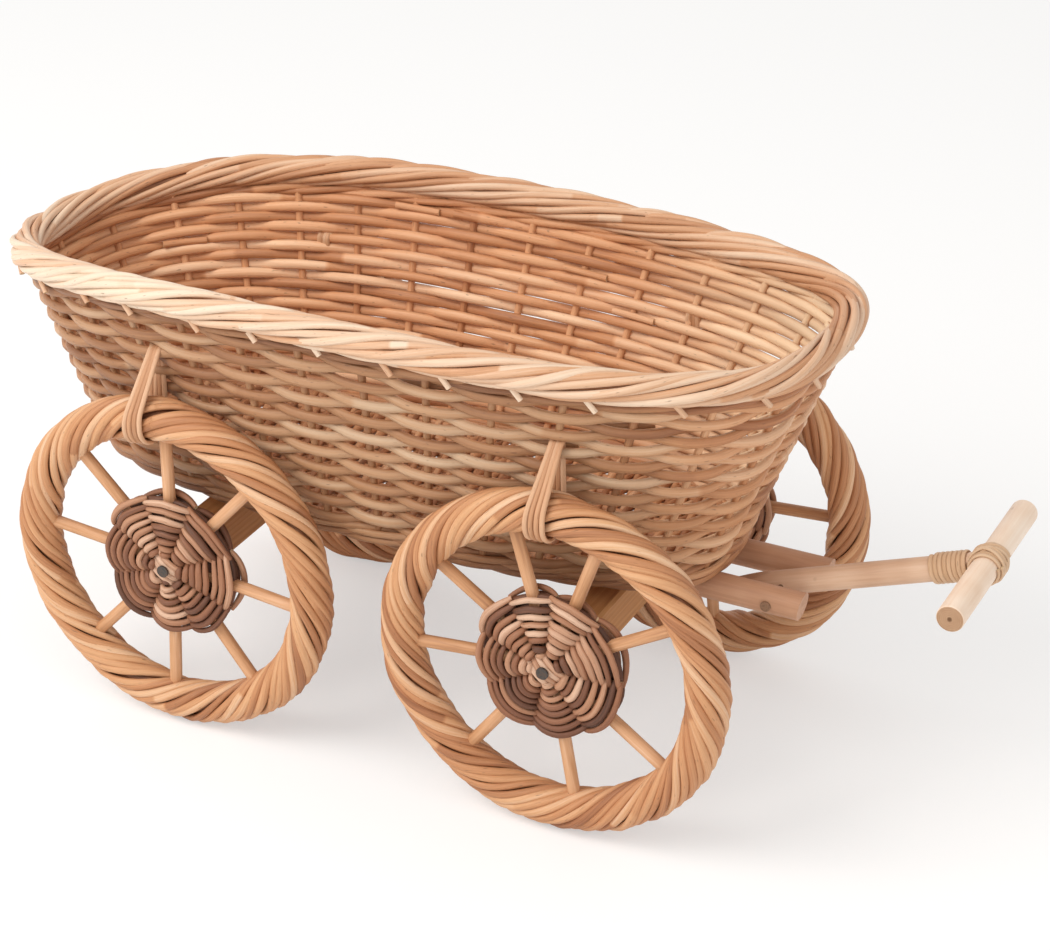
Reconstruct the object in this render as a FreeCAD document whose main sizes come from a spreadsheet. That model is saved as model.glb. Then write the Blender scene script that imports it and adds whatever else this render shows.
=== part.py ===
import FreeCAD, Part
import Sketcher
import math
import os

# Woven willow flower cart: an oval basket on two rails and two axle beams,
# four willow wheels, and a drawbar with a hand bar that tilts on a cross pin.
# Millimetres, +X forward, +Z up, origin on the ground midway between the axles.

Vector = FreeCAD.Vector
Rotation = FreeCAD.Rotation
Placement = FreeCAD.Placement

os.makedirs("parts", exist_ok=True)
doc = FreeCAD.newDocument("FlowerCart")

# ---------------------------------------------------------------- sizes
sheet = doc.addObject("Spreadsheet::Sheet", "Sizes")
sizes = [
    ("wheelRadius", 175.0, "outside radius of a wheel"),
    ("tubeRadius", 21.5, "radius of the wheel's bundle of rods"),
    ("treadFlat", 0.5, "depth of the worn flat where a wheel stands"),
    ("wheelBase", 404.0, "distance between the axles"),
    ("wheelTrack", 350.0, "distance between the wheel planes, left to right"),
    ("spokeRadius", 6.0, "radius of a spoke"),
    ("spokeInner", 22.0, "distance of a spoke's inner end from the wheel centre"),
    ("spokeSeat", 12.0, "depth of a spoke in the wheel's bundle"),
    ("hubRadius", 76.0, "radius of the woven hub"),
    ("hubFront", 19.0, "hub thickness outside the wheel plane"),
    ("hubBack", 15.0, "hub thickness inside the wheel plane"),
    ("hubFrontRound", 15.0, "rounding of the hub's outer edge"),
    ("hubBackRound", 8.0, "rounding of the hub's inner edge"),
    ("hubNailRadius", 2.5, "radius of the nail that holds a wheel"),
    ("hubNailHead", 6.0, "radius of its head"),
    ("nailHeadThick", 2.0, "thickness of the nail and pin heads"),
    ("hubNailGrip", 30.0, "depth of that nail in the axle beam"),
    ("axleWidth", 40.0, "axle beam, front to back"),
    ("axleHeight", 44.0, "axle beam, bottom to top"),
    ("axleChamfer", 3.0, "chamfer of the beam's long edges"),
    ("railRadius", 13.5, "radius of a rail"),
    ("railSpacing", 69.0, "distance between the rails' centre lines"),
    ("railFront", 389.0, "front end of the rails"),
    ("railRear", 330.0, "rear end of the rails, behind the origin"),
    ("railNotch", 2.5, "depth of the rail's seat on an axle beam"),
    ("railSlant", 8.0, "slant of a rail's cut front end, degrees"),
    ("railNailRadius", 2.0, "radius of the nails in the rails"),
    ("railNailGrip", 20.0, "depth of a rail's nail in an axle beam"),
    ("floorNailGrip", 16.0, "depth of a floor nail in a rail"),
    ("seatGap", 0.3, "gap left where a round piece rests on its neighbour"),
    ("floorThick", 12.0, "thickness of the woven basket floor"),
    ("floorRise", 3.0, "height of the floor above the wall's bottom edge"),
    ("wallThick", 12.0, "thickness of the woven wall"),
    ("baseLength", 670.0, "length of the wall's middle surface at the bottom"),
    ("baseWidth", 238.0, "its width at the bottom"),
    ("baseMiddle", -36.0, "place of its middle along the cart"),
    ("rimLength", 834.0, "length of the border's centre line"),
    ("rimWidth", 358.0, "its width"),
    ("rimMiddle", -26.5, "place of its middle along the cart"),
    ("rimHeight", 457.0, "height of the border's centre line half way"),
    ("rimFrontHeight", 461.0, "its height at the front end"),
    ("rimRearHeight", 414.0, "its height at the rear end"),
    ("frontRoundness", 2.85, "outline exponent of the front half"),
    ("rearRoundness", 2.4, "outline exponent of the rear half"),
    ("borderRadius", 16.5, "radius of the rolled border"),
    ("drawbarRadius", 11.7, "radius of the drawbar"),
    ("drawbarReach", 202.0, "from the pin to the middle of the hand bar"),
    ("drawbarTail", 58.0, "length of the drawbar behind the pin"),
    ("drawbarRise", 20.0, "slope of the drawbar at rest, degrees"),
    ("tailTaper", 46.0, "length of the shaved tail"),
    ("tailThick", 9.0, "thickness of the tail at its end"),
    ("pinPlace", 356.5, "place of the cross pin along the cart"),
    ("pinRadius", 3.0, "radius of the cross pin"),
    ("pinHead", 5.0, "radius of the pin's head"),
    ("pinClearance", 0.3, "gap between the pin and the drawbar's hole"),
    ("gripRadius", 12.7, "radius of the hand bar"),
    ("gripLength", 212.0, "length of the hand bar"),
    ("gripRound", 2.0, "rounding of the hand bar's ends"),
    ("gripNailGrip", 26.0, "depth of the hand bar's nail in the drawbar"),
    ("lashRadius", 2.0, "radius of the lashing strand"),
    ("lashGap", 0.6, "gap between neighbouring turns of a lashing"),
    ("drawbarTurns", 7.0, "turns of the lashing on the drawbar"),
    ("gripTurns", 6.0, "turns of the lashing on the hand bar"),
    ("lashClear", 0.6, "gap between the drawbar's lashing and the one on the hand bar"),
    ("tieRadius", 2.6, "radius of the rod that ties a wheel to the basket"),
    ("tieTurns", 3.0, "turns of that rod"),
    ("tieHeight", 384.0, "height where the tie goes through the wall"),
]
for row, (alias, value, note) in enumerate(sizes, start=1):
    sheet.set("A%d" % row, alias)
    sheet.set("B%d" % row, repr(value))
    sheet.set("C%d" % row, note)
    sheet.setAlias("B%d" % row, alias)
doc.recompute()

aliases = {alias for alias, value, note in sizes}
pieces = []          # every sub-part that is written out


def size(name):
    """Number held by a named cell."""
    return float(getattr(sheet, name))


def bind(thing, **rules):
    """Tie properties to the sheet; a double underscore stands for a dot."""
    for prop, rule in rules.items():
        thing.setExpression(prop.replace("__", "."), rule)


def cells(rule):
    """Write a rule with bare cell names as one that reads the sheet."""
    words = []
    word = ""
    for letter in rule + " ":
        if letter.isalnum():
            word += letter
            continue
        words.append("Sizes." + word if word in aliases else word)
        words.append(letter)
        word = ""
    return "".join(words).strip()


def place(thing, x="0", y="0", z="0"):
    """Bind the position of a sub-part; each coordinate is a rule."""
    bind(thing, Placement__Base__x=cells(x), Placement__Base__y=cells(y), Placement__Base__z=cells(z))


def keep(thing, label):
    """Name a finished sub-part and list it for writing."""
    thing.Label = label
    pieces.append(thing)
    return thing


def newBody(name):
    body = doc.addObject("PartDesign::Body", name)
    body.AllowCompound = True
    return body


def originPlane(body, role):
    """Origin plane or axis of a body, found by its role."""
    return [item for item in body.Origin.OriginFeatures if item.Role == role][0]


def boxSketch(body, name, role, width, height):
    """Sketch of a rectangle centred on the body's origin, sizes bound to rules."""
    sketch = body.newObject("Sketcher::SketchObject", name)
    sketch.AttachmentSupport = [(originPlane(body, role), "")]
    sketch.MapMode = "FlatFace"
    corners = [Vector(-9, -9, 0), Vector(9, -9, 0), Vector(9, 9, 0), Vector(-9, 9, 0)]
    for i in range(4):
        sketch.addGeometry(Part.LineSegment(corners[i], corners[(i + 1) % 4]), False)
    for i in range(4):
        sketch.addConstraint(Sketcher.Constraint("Coincident", i, 2, (i + 1) % 4, 1))
    sketch.addConstraint(Sketcher.Constraint("Horizontal", 0))
    sketch.addConstraint(Sketcher.Constraint("Horizontal", 2))
    sketch.addConstraint(Sketcher.Constraint("Vertical", 1))
    sketch.addConstraint(Sketcher.Constraint("Vertical", 3))
    sketch.addConstraint(Sketcher.Constraint("Symmetric", 0, 1, 1, 2, -1, 1))
    across = sketch.addConstraint(Sketcher.Constraint("DistanceX", 0, 1, 0, 2, 18.0))
    upward = sketch.addConstraint(Sketcher.Constraint("DistanceY", 1, 1, 1, 2, 18.0))
    sketch.setExpression("Constraints[%d]" % across, cells(width))
    sketch.setExpression("Constraints[%d]" % upward, cells(height))
    return sketch


def roundSketch(body, name, role, radius):
    """Sketch of a circle about the body's origin, its radius bound to a rule."""
    sketch = body.newObject("Sketcher::SketchObject", name)
    sketch.AttachmentSupport = [(originPlane(body, role), "")]
    sketch.MapMode = "FlatFace"
    sketch.addGeometry(Part.Circle(Vector(0, 0, 0), Vector(0, 0, 1), 5.0), False)
    sketch.addConstraint(Sketcher.Constraint("Coincident", 0, 3, -1, 1))
    ring = sketch.addConstraint(Sketcher.Constraint("Radius", 0, 5.0))
    sketch.setExpression("Constraints[%d]" % ring, cells(radius))
    return sketch


def pad(body, sketch, length, symmetric=False):
    feature = body.newObject("PartDesign::Pad", sketch.Name + "Pad")
    feature.Profile = sketch
    feature.Midplane = symmetric
    feature.setExpression("Length", cells(length))
    sketch.Visibility = False
    return feature


def circleEdge(shape, level):
    """Name of the widest round edge at a level along Y."""
    found = []
    for n, edge in enumerate(shape.Edges, start=1):
        if isinstance(edge.Curve, Part.Circle) and abs(edge.Curve.Center.y - level) < 0.01:
            found.append((edge.Curve.Radius, "Edge%d" % n))
    return max(found)[1]


def cylinder(name, radius, height):
    thing = doc.addObject("Part::Cylinder", name)
    bind(thing, Radius=cells(radius), Height=cells(height))
    return thing


def cut(name, base, tool):
    thing = doc.addObject("Part::Cut", name)
    thing.Base = base
    thing.Tool = tool
    return thing


def group(name, members):
    thing = doc.addObject("Part::Compound", name)
    thing.Links = members
    return thing


# ---------------------------------------------------------------- heights that follow from the sizes
wheelZ = "wheelRadius - treadFlat"
axleTop = wheelZ + " + axleHeight / 2"
railZ = axleTop + " + railRadius - railNotch"
railTop = railZ + " + railRadius"
wheelHeight = size("wheelRadius") - size("treadFlat")
railHeight = wheelHeight + size("axleHeight") / 2 + size("railRadius") - size("railNotch")
wallBase = railHeight + size("railRadius") + size("seatGap")


# ---------------------------------------------------------------- basket outline
def outline(length, width, middle, count=72):
    """Flat oval as points: an oval whose exponent differs in front and behind."""
    points = []
    for i in range(count):
        turn = 2 * math.pi * i / count
        angle = math.atan2(width * math.sin(turn), length * math.cos(turn))
        c = abs(math.cos(angle)) / (length / 2)
        s = abs(math.sin(angle)) / (width / 2)
        n = size("frontRoundness") if math.cos(angle) > 0 else size("rearRoundness")
        reach = (c ** n + s ** n) ** (-1 / n)
        points.append(Vector(middle + reach * math.cos(angle), reach * math.sin(angle), 0))
    return points


def rimLine():
    """Centre line of the border: the rim outline on a gently sagging height."""
    half = size("rimLength") / 2
    bend = (size("rimFrontHeight") + size("rimRearHeight")) / 2 - size("rimHeight")
    lean = (size("rimFrontHeight") - size("rimRearHeight")) / 2
    points = outline(size("rimLength"), size("rimWidth"), size("rimMiddle"))
    for point in points:
        u = (point.x - size("rimMiddle")) / half
        point.z = size("rimHeight") + bend * u * u + lean * u ** 3
    return points


def baseLine():
    points = outline(size("baseLength"), size("baseWidth"), size("baseMiddle"))
    for point in points:
        point.z = wallBase
    return points


def outward(points):
    """Level unit vectors square to a closed line of points, pointing out."""
    vectors = []
    count = len(points)
    for i in range(count):
        along = points[(i + 1) % count] - points[i - 1]
        side = Vector(along.y, -along.x, 0)
        vectors.append(side.normalize())
    return vectors


def closedCurve(points):
    curve = Part.BSplineCurve()
    curve.interpolate(points, PeriodicFlag=True)
    return curve.toShape()


def ruledSolid(curves):
    """Solid whose skin is ruled between each closed curve and the next, in a ring."""
    faces = []
    for i, curve in enumerate(curves):
        faces.append(Part.makeRuledSurface(curve, curves[(i + 1) % len(curves)]))
    shell = Part.makeShell(faces)
    shell.sewShape()
    solid = Part.makeSolid(shell if shell.ShapeType == "Shell" else shell.Shells[0])
    solid.fix(0.01, 0.01, 0.01)
    if solid.Volume < 0:
        solid.reverse()
    return solid


lower = baseLine()
upper = rimLine()
side = outward(lower)
rimSide = outward(upper)
half = size("wallThick") / 2


def wallPoint(i, share, offset):
    """Point on the wall: share runs from the bottom (0) to the border's line (1)."""
    middle = lower[i] + (upper[i] - lower[i]) * share
    return middle + (side[i] * (1 - share) + rimSide[i] * share) * offset


# the wall stops under the border, which is rolled over its top
order = range(len(lower))
rises = [upper[i].z - lower[i].z for i in order]
topShare = [1 - (size("borderRadius") - size("seatGap")) / rises[i] for i in order]
wallCurves = [
    closedCurve([wallPoint(i, 0.0, half) for i in order]),
    closedCurve([wallPoint(i, topShare[i], half) for i in order]),
    closedCurve([wallPoint(i, topShare[i], -half) for i in order]),
    closedCurve([wallPoint(i, 0.0, -half) for i in order]),
]
wall = doc.addObject("Part::Feature", "BasketWall")
wall.Shape = ruledSolid(wallCurves)
keep(wall, "basket_wall")

# rolled border: a twelve-sided tube about the rim line
borderCurves = []
for k in range(12):
    angle = 2 * math.pi * k / 12
    reach = size("borderRadius") * math.cos(angle)
    lift = size("borderRadius") * math.sin(angle)
    borderCurves.append(closedCurve([upper[i] + rimSide[i] * reach + Vector(0, 0, lift) for i in order]))
border = doc.addObject("Part::Feature", "BasketBorder")
border.Shape = ruledSolid(borderCurves)
keep(border, "basket_border")

# woven floor inside the wall's bottom edge
floorZ = size("floorRise")
floorEdge = [wallPoint(i, floorZ / rises[i], -half - size("seatGap")) for i in order]
for point in floorEdge:
    point.z = wallBase + floorZ
floorFace = Part.Face(Part.Wire(closedCurve(floorEdge)))
floor = doc.addObject("Part::Feature", "BasketFloor")
floor.Shape = floorFace.extrude(Vector(0, 0, size("floorThick")))
keep(floor, "basket_floor")

# ---------------------------------------------------------------- axle beams
axleLength = "wheelTrack - 2 * hubBack - 2 * seatGap"
for label, x in (("axle_rear", "-wheelBase / 2"), ("axle_front", "wheelBase / 2")):
    beam = newBody(label.title().replace("_", ""))
    profile = boxSketch(beam, beam.Name + "Profile", "XZ_Plane", "axleWidth", "axleHeight")
    solid = pad(beam, profile, axleLength, symmetric=True)
    doc.recompute()
    longEdges = []
    for n, edge in enumerate(solid.Shape.Edges, start=1):
        if abs(edge.Length - solid.Length.Value) < 0.01:
            longEdges.append("Edge%d" % n)
    chamfer = beam.newObject("PartDesign::Chamfer", beam.Name + "Chamfer")
    chamfer.Base = (solid, longEdges)
    chamfer.setExpression("Size", cells("axleChamfer"))
    beam.Tip = chamfer
    place(beam, x=x, z=wheelZ)
    keep(beam, label)

# ---------------------------------------------------------------- rails
railLength = "railFront + railRear"
for label, sign in (("rail_right", "-"), ("rail_left", "")):
    stem = label.title().replace("_", "")
    pole = newBody(stem + "Pole")
    ring = roundSketch(pole, stem + "Ring", "YZ_Plane", "railRadius")
    pad(pole, ring, railLength)
    place(pole, x="-railRear", y=sign + "railSpacing / 2", z=railZ)
    tools = []
    for name, x in (("Rear", "-wheelBase / 2"), ("Front", "wheelBase / 2")):
        seat = doc.addObject("Part::Box", stem + "Seat" + name)
        bind(seat, Length=cells("axleWidth"), Width=cells("4 * railRadius"), Height=cells("railRadius"))
        place(seat, x=x + " - axleWidth / 2", y=sign + "railSpacing / 2 - 2 * railRadius", z=axleTop + " - railRadius")
        tools.append(seat)
    hole = cylinder(stem + "PinHole", "pinRadius + seatGap / 2", "4 * railRadius")
    hole.Placement.Rotation = Rotation(Vector(1, 0, 0), -90)
    place(hole, x="pinPlace", y=sign + "railSpacing / 2 - 2 * railRadius", z=railZ)
    tools.append(hole)
    slant = doc.addObject("Part::Box", stem + "Slant")
    bind(slant, Length=cells("4 * railRadius"), Width=cells("4 * railRadius"), Height=cells("6 * railRadius"))
    slant.Placement.Rotation = Rotation(Vector(0, 1, 0), size("railSlant"))
    place(slant, x="railFront - 4 * railRadius * tan(railSlant * 1deg)", y=sign + "railSpacing / 2 - 2 * railRadius", z=railZ + " - 3 * railRadius")
    tools.append(slant)
    keep(cut(stem, pole, group(stem + "Cuts", tools)), label)

# nails: from each rail into each axle beam, and from the floor into each rail
nails = []
for x in ("-wheelBase / 2", "wheelBase / 2"):
    for sign in ("-", ""):
        nail = cylinder("RailNail%d" % len(nails), "railNailRadius", "2 * railRadius + railNailGrip")
        place(nail, x=x, y=sign + "railSpacing / 2", z=axleTop + " - railNailGrip - railNotch")
        nails.append(nail)
keep(group("RailNails", nails), "rail_nails")
nails = []
for x in ("baseMiddle - baseLength / 5", "baseMiddle + baseLength / 5"):
    for sign in ("-", ""):
        nail = cylinder("FloorNail%d" % len(nails), "railNailRadius", "floorNailGrip + floorRise + floorThick - 1")
        place(nail, x=x, y=sign + "railSpacing / 2", z=railTop + " + seatGap - floorNailGrip")
        nails.append(nail)
keep(group("FloorNails", nails), "floor_nails")


# ---------------------------------------------------------------- wound pieces
def biarc(start, along, end, onward):
    """Two arcs that leave one point along a direction and reach the next along another."""
    chord = end - start
    both = along + onward
    a = 2 * (1 - along.dot(onward))
    b = chord.dot(both)
    c = chord.dot(chord)
    if a < 1e-9:
        reach = c / (2 * chord.dot(onward))
    else:
        reach = (-b + math.sqrt(b * b + a * c)) / a
    joint = (start + along * reach + end - onward * reach) * 0.5
    edges = []
    for first, way, last in ((start, along, joint), (end, onward * -1, joint)):
        span = last - first
        across = span - way * span.dot(way)
        if across.Length < 1e-6 * span.Length:
            edges.append(Part.LineSegment(first, last).toShape() if first is start else Part.LineSegment(last, first).toShape())
            continue
        normal = across.normalize()
        radius = span.dot(span) / (2 * span.dot(normal))
        centre = first + normal * radius
        halfway = (first + last) * 0.5 - centre
        middle = centre + halfway.normalize() * radius
        if way.dot(span) < 0:
            middle = centre - halfway.normalize() * radius
        if first is start:
            edges.append(Part.Arc(first, middle, last).toShape())
        else:
            edges.append(Part.Arc(last, middle, first).toShape())
    return edges


def woundTube(points, ways, radius, label):
    """Tube of a radius along biarcs; each end runs on straight for one diameter."""
    lead = Part.LineSegment(points[0] - ways[0] * 2 * radius, points[0]).toShape()
    edges = [lead]
    for i in range(len(points) - 1):
        edges += biarc(points[i], ways[i], points[i + 1], ways[i + 1])
    edges.append(Part.LineSegment(points[-1], points[-1] + ways[-1] * 2 * radius).toShape())
    spine = Part.Wire(edges)
    ring = Part.Circle(points[0] - ways[0] * 2 * radius, ways[0], radius)
    tube = spine.makePipeShell([Part.Wire(ring.toShape())], True, False)
    if tube.Volume < 0:
        tube.reverse()
    expected = math.pi * radius * radius * spine.Length
    print(label, "volume against section times length", round(tube.Volume / expected, 4))
    print(label, "least gap to itself", round(selfGap(edges, radius), 2))
    return tube


def selfGap(edges, radius):
    """Least gap between turns, on points along the spine more than four radii apart."""
    points = []
    walked = 0.0
    for edge in edges:
        steps = max(2, int(edge.Length / 1.5))
        for point in edge.discretize(steps)[:-1]:
            points.append((walked, point))
            walked += edge.Length / (steps - 1)
    least = 1e9
    for i, (s, p) in enumerate(points):
        for r, q in points[i + 1:]:
            if r - s > 8 * radius:
                least = min(least, p.distanceToPoint(q))
    return least - 2 * radius


def helix(centre, axis, first, radius, pitch, turns):
    """Points and directions of a helix, a quarter turn apart."""
    second = axis.cross(first)
    points, ways = [], []
    for i in range(int(4 * turns) + 1):
        angle = math.pi / 2 * i
        out = first * math.cos(angle) + second * math.sin(angle)
        tangent = (second * math.cos(angle) - first * math.sin(angle)) * (2 * math.pi * radius) + axis * pitch
        points.append(centre + axis * (pitch * (i / 4 - turns / 2)) + out * radius)
        ways.append(tangent.normalize())
    return points, ways


# ---------------------------------------------------------------- wheels
rimCentre = "(wheelRadius - tubeRadius)"
tubeLine = size("wheelRadius") - size("tubeRadius")


def wallFace(x, z):
    """Half width of the wall's outer face at a place and height."""
    share = (z - wallBase) / (size("rimHeight") - wallBase)
    best = None
    for i in range(len(lower) // 2):
        a = wallPoint(i, share, half)
        b = wallPoint(i + 1, share, half)
        if min(a.x, b.x) <= x <= max(a.x, b.x):
            best = a.y + (b.y - a.y) * (x - a.x) / (b.x - a.x)
    return abs(best)


def tieLoop(x, offset, handed):
    """Rod wound round the wheel's bundle, off its top by an offset, and through the wall above."""
    radius = size("tieRadius")
    pitch = 2 * radius + size("lashGap")
    low = Vector(0, size("wheelTrack") / 2, wheelHeight + math.sqrt(tubeLine ** 2 - offset ** 2))
    slope = (abs(offset) + pitch * size("tieTurns") / 2) / tubeLine
    lowReach = size("tubeRadius") + radius + size("seatGap") + slope * pitch * size("tieTurns") / 2
    top = Vector(0, wallFace(x, size("tieHeight")) + 1.0, size("tieHeight"))
    topReach = 2 * radius + 1.0
    line = top - low
    span = line.Length
    tilt = math.atan2(line.z, line.y)
    lean = math.acos((lowReach - topReach) / span)
    points, ways = [], []
    turns = int(size("tieTurns"))
    stations = []
    for turn in range(turns):
        base = turn * 2 * math.pi
        for centre, reach, angle in (
            (low, lowReach, tilt + lean), (low, lowReach, tilt + lean + (math.pi - lean)),
            (low, lowReach, tilt - lean + 2 * math.pi), (top, topReach, tilt - lean + 2 * math.pi),
            (top, topReach, tilt + 2 * math.pi), (top, topReach, tilt + lean + 2 * math.pi),
        ):
            stations.append((centre, reach, base + angle, turn))
    count = len(stations)
    for n, (centre, reach, angle, turn) in enumerate(stations):
        drift = pitch * (n / 6 - turns / 2)
        out = Vector(0, math.cos(angle), math.sin(angle))
        way = Vector(0, -math.sin(angle), math.cos(angle)) * 60 + Vector(pitch / 4, 0, 0)
        point = centre + out * reach + Vector(x + drift, 0, 0)
        points.append(Vector(point.x, point.y * handed, point.z))
        ways.append(Vector(way.x, way.y * handed, way.z).normalize())
    return points, ways


wheels = [
    ("wheel_rear_right", "-wheelBase / 2", -1, -21.0, [-6, 48, 90, 135, 175, -133, -93, -52]),
    ("wheel_front_right", "wheelBase / 2", -1, -8.0, [30, 71, 106, 146, -174.5, -127, -80, -35]),
    ("wheel_front_left", "wheelBase / 2", 1, -6.0, [4, 52, 103, 145, -173, -131, -84, -42]),
    ("wheel_rear_left", "-wheelBase / 2", 1, -12.0, [-3, 43, 86, 133, 176, -138, -92, -50]),
]
for label, x, handed, tiePlace, angles in wheels:
    stem = label.title().replace("_", "")
    y = "wheelTrack / 2" if handed > 0 else "-wheelTrack / 2"
    xValue = size("wheelBase") / 2 * (-1 if x[0] == "-" else 1)
    # spokes: radial rods set by hand at uneven angles, from forward towards up
    rods = []
    for n, angle in enumerate(angles, start=1):
        rod = cylinder("%sSpoke%d" % (stem, n), "spokeRadius", rimCentre + " - tubeRadius + spokeSeat - spokeInner")
        rod.Placement.Rotation = Rotation(Vector(0, 1, 0), 90 - angle)
        place(rod, x="%s + spokeInner * cos(%gdeg)" % (x, angle), y=y, z="%s + spokeInner * sin(%gdeg)" % (wheelZ, angle))
        rods.append(rod)
    spokes = group(stem + "Spokes", rods)
    keep(spokes, label + "_spokes")
    # bundle of rods, worn flat where it stands
    bundle = doc.addObject("Part::Torus", stem + "Bundle")
    bind(bundle, Radius1=cells(rimCentre), Radius2=cells("tubeRadius"))
    bundle.Placement.Rotation = Rotation(Vector(1, 0, 0), 90)
    place(bundle, x=x, y=y, z=wheelZ)
    ground = doc.addObject("Part::Box", stem + "Ground")
    bind(ground, Length=cells("2 * wheelRadius"), Width=cells("4 * tubeRadius"), Height=cells("tubeRadius"))
    place(ground, x=x + " - wheelRadius", y=y + " - 2 * tubeRadius", z="-tubeRadius")
    keep(cut(stem + "Rim", bundle, group(stem + "RimCuts", [spokes, ground])), label + "_rim")
    # woven hub round the spokes
    disc = newBody(stem + "Disc")
    circle = roundSketch(disc, stem + "DiscRing", "XZ_Plane", "hubRadius")
    circle.setExpression("AttachmentOffset.Base.z", cells("-hubBack" if handed < 0 else "-hubFront"))
    solid = pad(disc, circle, "hubFront + hubBack")
    doc.recompute()
    latest = solid
    for face, cell in (("hubFront", "hubFrontRound"), ("hubBack", "hubBackRound")):
        level = size(face) * handed * (1 if face == "hubFront" else -1)
        fillet = disc.newObject("PartDesign::Fillet", stem + face.title())
        fillet.Base = (latest, [circleEdge(latest.Shape, level)])
        fillet.setExpression("Radius", cells(cell))
        disc.Tip = fillet
        doc.recompute()
        latest = fillet
    place(disc, x=x, y=y, z=wheelZ)
    nailHole = cylinder(stem + "NailHole", "hubNailRadius", "hubFront + hubBack + 2 * nailHeadThick")
    nailHole.Placement.Rotation = Rotation(Vector(1, 0, 0), 90)
    inner = ("hubBack" if handed < 0 else "hubFront") + " + nailHeadThick"
    place(nailHole, x=x, y=y + " + " + inner, z=wheelZ)
    keep(cut(stem + "Hub", disc, group(stem + "HubCuts", [spokes, nailHole])), label + "_hub")
    # nail through the hub into the axle beam, with a flat head outside
    shank = cylinder(stem + "Shank", "hubNailRadius", "hubFront + hubBack + hubNailGrip")
    head = cylinder(stem + "Head", "hubNailHead", "nailHeadThick")
    for thing in (shank, head):
        thing.Placement.Rotation = Rotation(Vector(1, 0, 0), 90 * handed)
    outer = y + (" + " if handed > 0 else " - ")
    place(shank, x=x, y=outer + "hubFront", z=wheelZ)
    place(head, x=x, y=outer + "(hubFront + nailHeadThick)", z=wheelZ)
    nail = doc.addObject("Part::Fuse", stem + "Nail")
    nail.Base = shank
    nail.Tool = head
    keep(nail, label + "_nail")
    # tie
    tie = doc.addObject("Part::Feature", stem + "Tie")
    points, ways = tieLoop(xValue + tiePlace, tiePlace, handed)
    tie.Shape = woundTube(points, ways, size("tieRadius"), label + "_tie")
    keep(tie, label + "_tie")

# ---------------------------------------------------------------- drawbar
rise = math.radians(size("drawbarRise"))
forward = Vector(math.cos(rise), 0, math.sin(rise))
pivot = Vector(size("pinPlace"), 0, railHeight)
bar = newBody("DrawbarPole")
ring = roundSketch(bar, "DrawbarRing", "YZ_Plane", "drawbarRadius")
ring.setExpression("AttachmentOffset.Base.z", cells("-drawbarTail"))
pad(bar, ring, "drawbarTail + drawbarReach")
tools = []
hole = cylinder("DrawbarHole", "pinRadius + pinClearance", "4 * drawbarRadius")
hole.Placement.Rotation = Rotation(Vector(1, 0, 0), -90)
place(hole, y="-2 * drawbarRadius")
tools.append(hole)
# the hand bar and its lashing lie in a hollow across the drawbar's end
hollow = cylinder("DrawbarHollow", "gripRadius + 2 * lashRadius + 2 * seatGap", "4 * drawbarRadius")
hollow.Placement.Rotation = Rotation(Vector(1, 0, 0), -90)
place(hollow, x="drawbarReach", y="-2 * drawbarRadius")
tools.append(hollow)
# the tail is shaved from above and below to a blunt wedge
shave = math.atan((size("drawbarRadius") - size("tailThick") / 2) / size("tailTaper"))
for name, up in (("Upper", 1), ("Lower", -1)):
    wedge = doc.addObject("Part::Box", "Tail" + name)
    bind(wedge, Length=cells("2 * tailTaper"), Width=cells("4 * drawbarRadius"), Height=cells("2 * drawbarRadius"))
    turn = Rotation(Vector(0, 1, 0), -math.degrees(shave) * up)
    corner = Vector(-size("drawbarTail"), -2 * size("drawbarRadius"), up * size("tailThick") / 2)
    along = turn.multVec(Vector(1, 0, 0)) * size("tailTaper") * 0.5
    drop = turn.multVec(Vector(0, 0, 1)) * (0 if up > 0 else -2 * size("drawbarRadius"))
    wedge.Placement = Placement(corner - along + drop, turn)
    tools.append(wedge)
shaped = cut("DrawbarShape", bar, group("DrawbarCuts", tools))
shaped.Placement = Placement(pivot, Rotation(Vector(0, 1, 0), -size("drawbarRise")))
keep(shaped, "drawbar")

# cross pin through both rails
shank = cylinder("PinShank", "pinRadius", "railSpacing + 2 * railRadius + 2 * nailHeadThick")
shank.Placement.Rotation = Rotation(Vector(1, 0, 0), -90)
place(shank, x="pinPlace", y="-railSpacing / 2 - railRadius - nailHeadThick / 2", z=railZ)
head = cylinder("PinHead", "pinHead", "nailHeadThick")
head.Placement.Rotation = Rotation(Vector(1, 0, 0), -90)
place(head, x="pinPlace", y="-railSpacing / 2 - railRadius - nailHeadThick", z=railZ)
pin = doc.addObject("Part::Fuse", "DrawbarPin")
pin.Base = shank
pin.Tool = head
keep(pin, "drawbar_pin")

# hand bar across the drawbar's end
grip = newBody("HandBar")
ring = roundSketch(grip, "HandBarRing", "XZ_Plane", "gripRadius")
solid = pad(grip, ring, "gripLength", symmetric=True)
doc.recompute()
ends = []
for n, edge in enumerate(solid.Shape.Edges, start=1):
    if isinstance(edge.Curve, Part.Circle):
        ends.append("Edge%d" % n)
fillet = grip.newObject("PartDesign::Fillet", "HandBarRound")
fillet.Base = (solid, ends)
fillet.setExpression("Radius", cells("gripRound"))
grip.Tip = fillet
place(grip, x="pinPlace + drawbarReach * cos(drawbarRise * 1deg)", z=railZ + " + drawbarReach * sin(drawbarRise * 1deg)")
keep(grip, "hand_bar")

# nail through the hand bar into the drawbar's end
gripCentre = pivot + forward * size("drawbarReach")
nail = cylinder("HandBarNail", "railNailRadius", "2 * gripRadius + gripNailGrip")
nail.Placement = Placement(gripCentre + forward * (size("gripRadius") + size("seatGap")), Rotation(Vector(0, 1, 0), 270 - size("drawbarRise")))
keep(nail, "hand_bar_nail")

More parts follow.
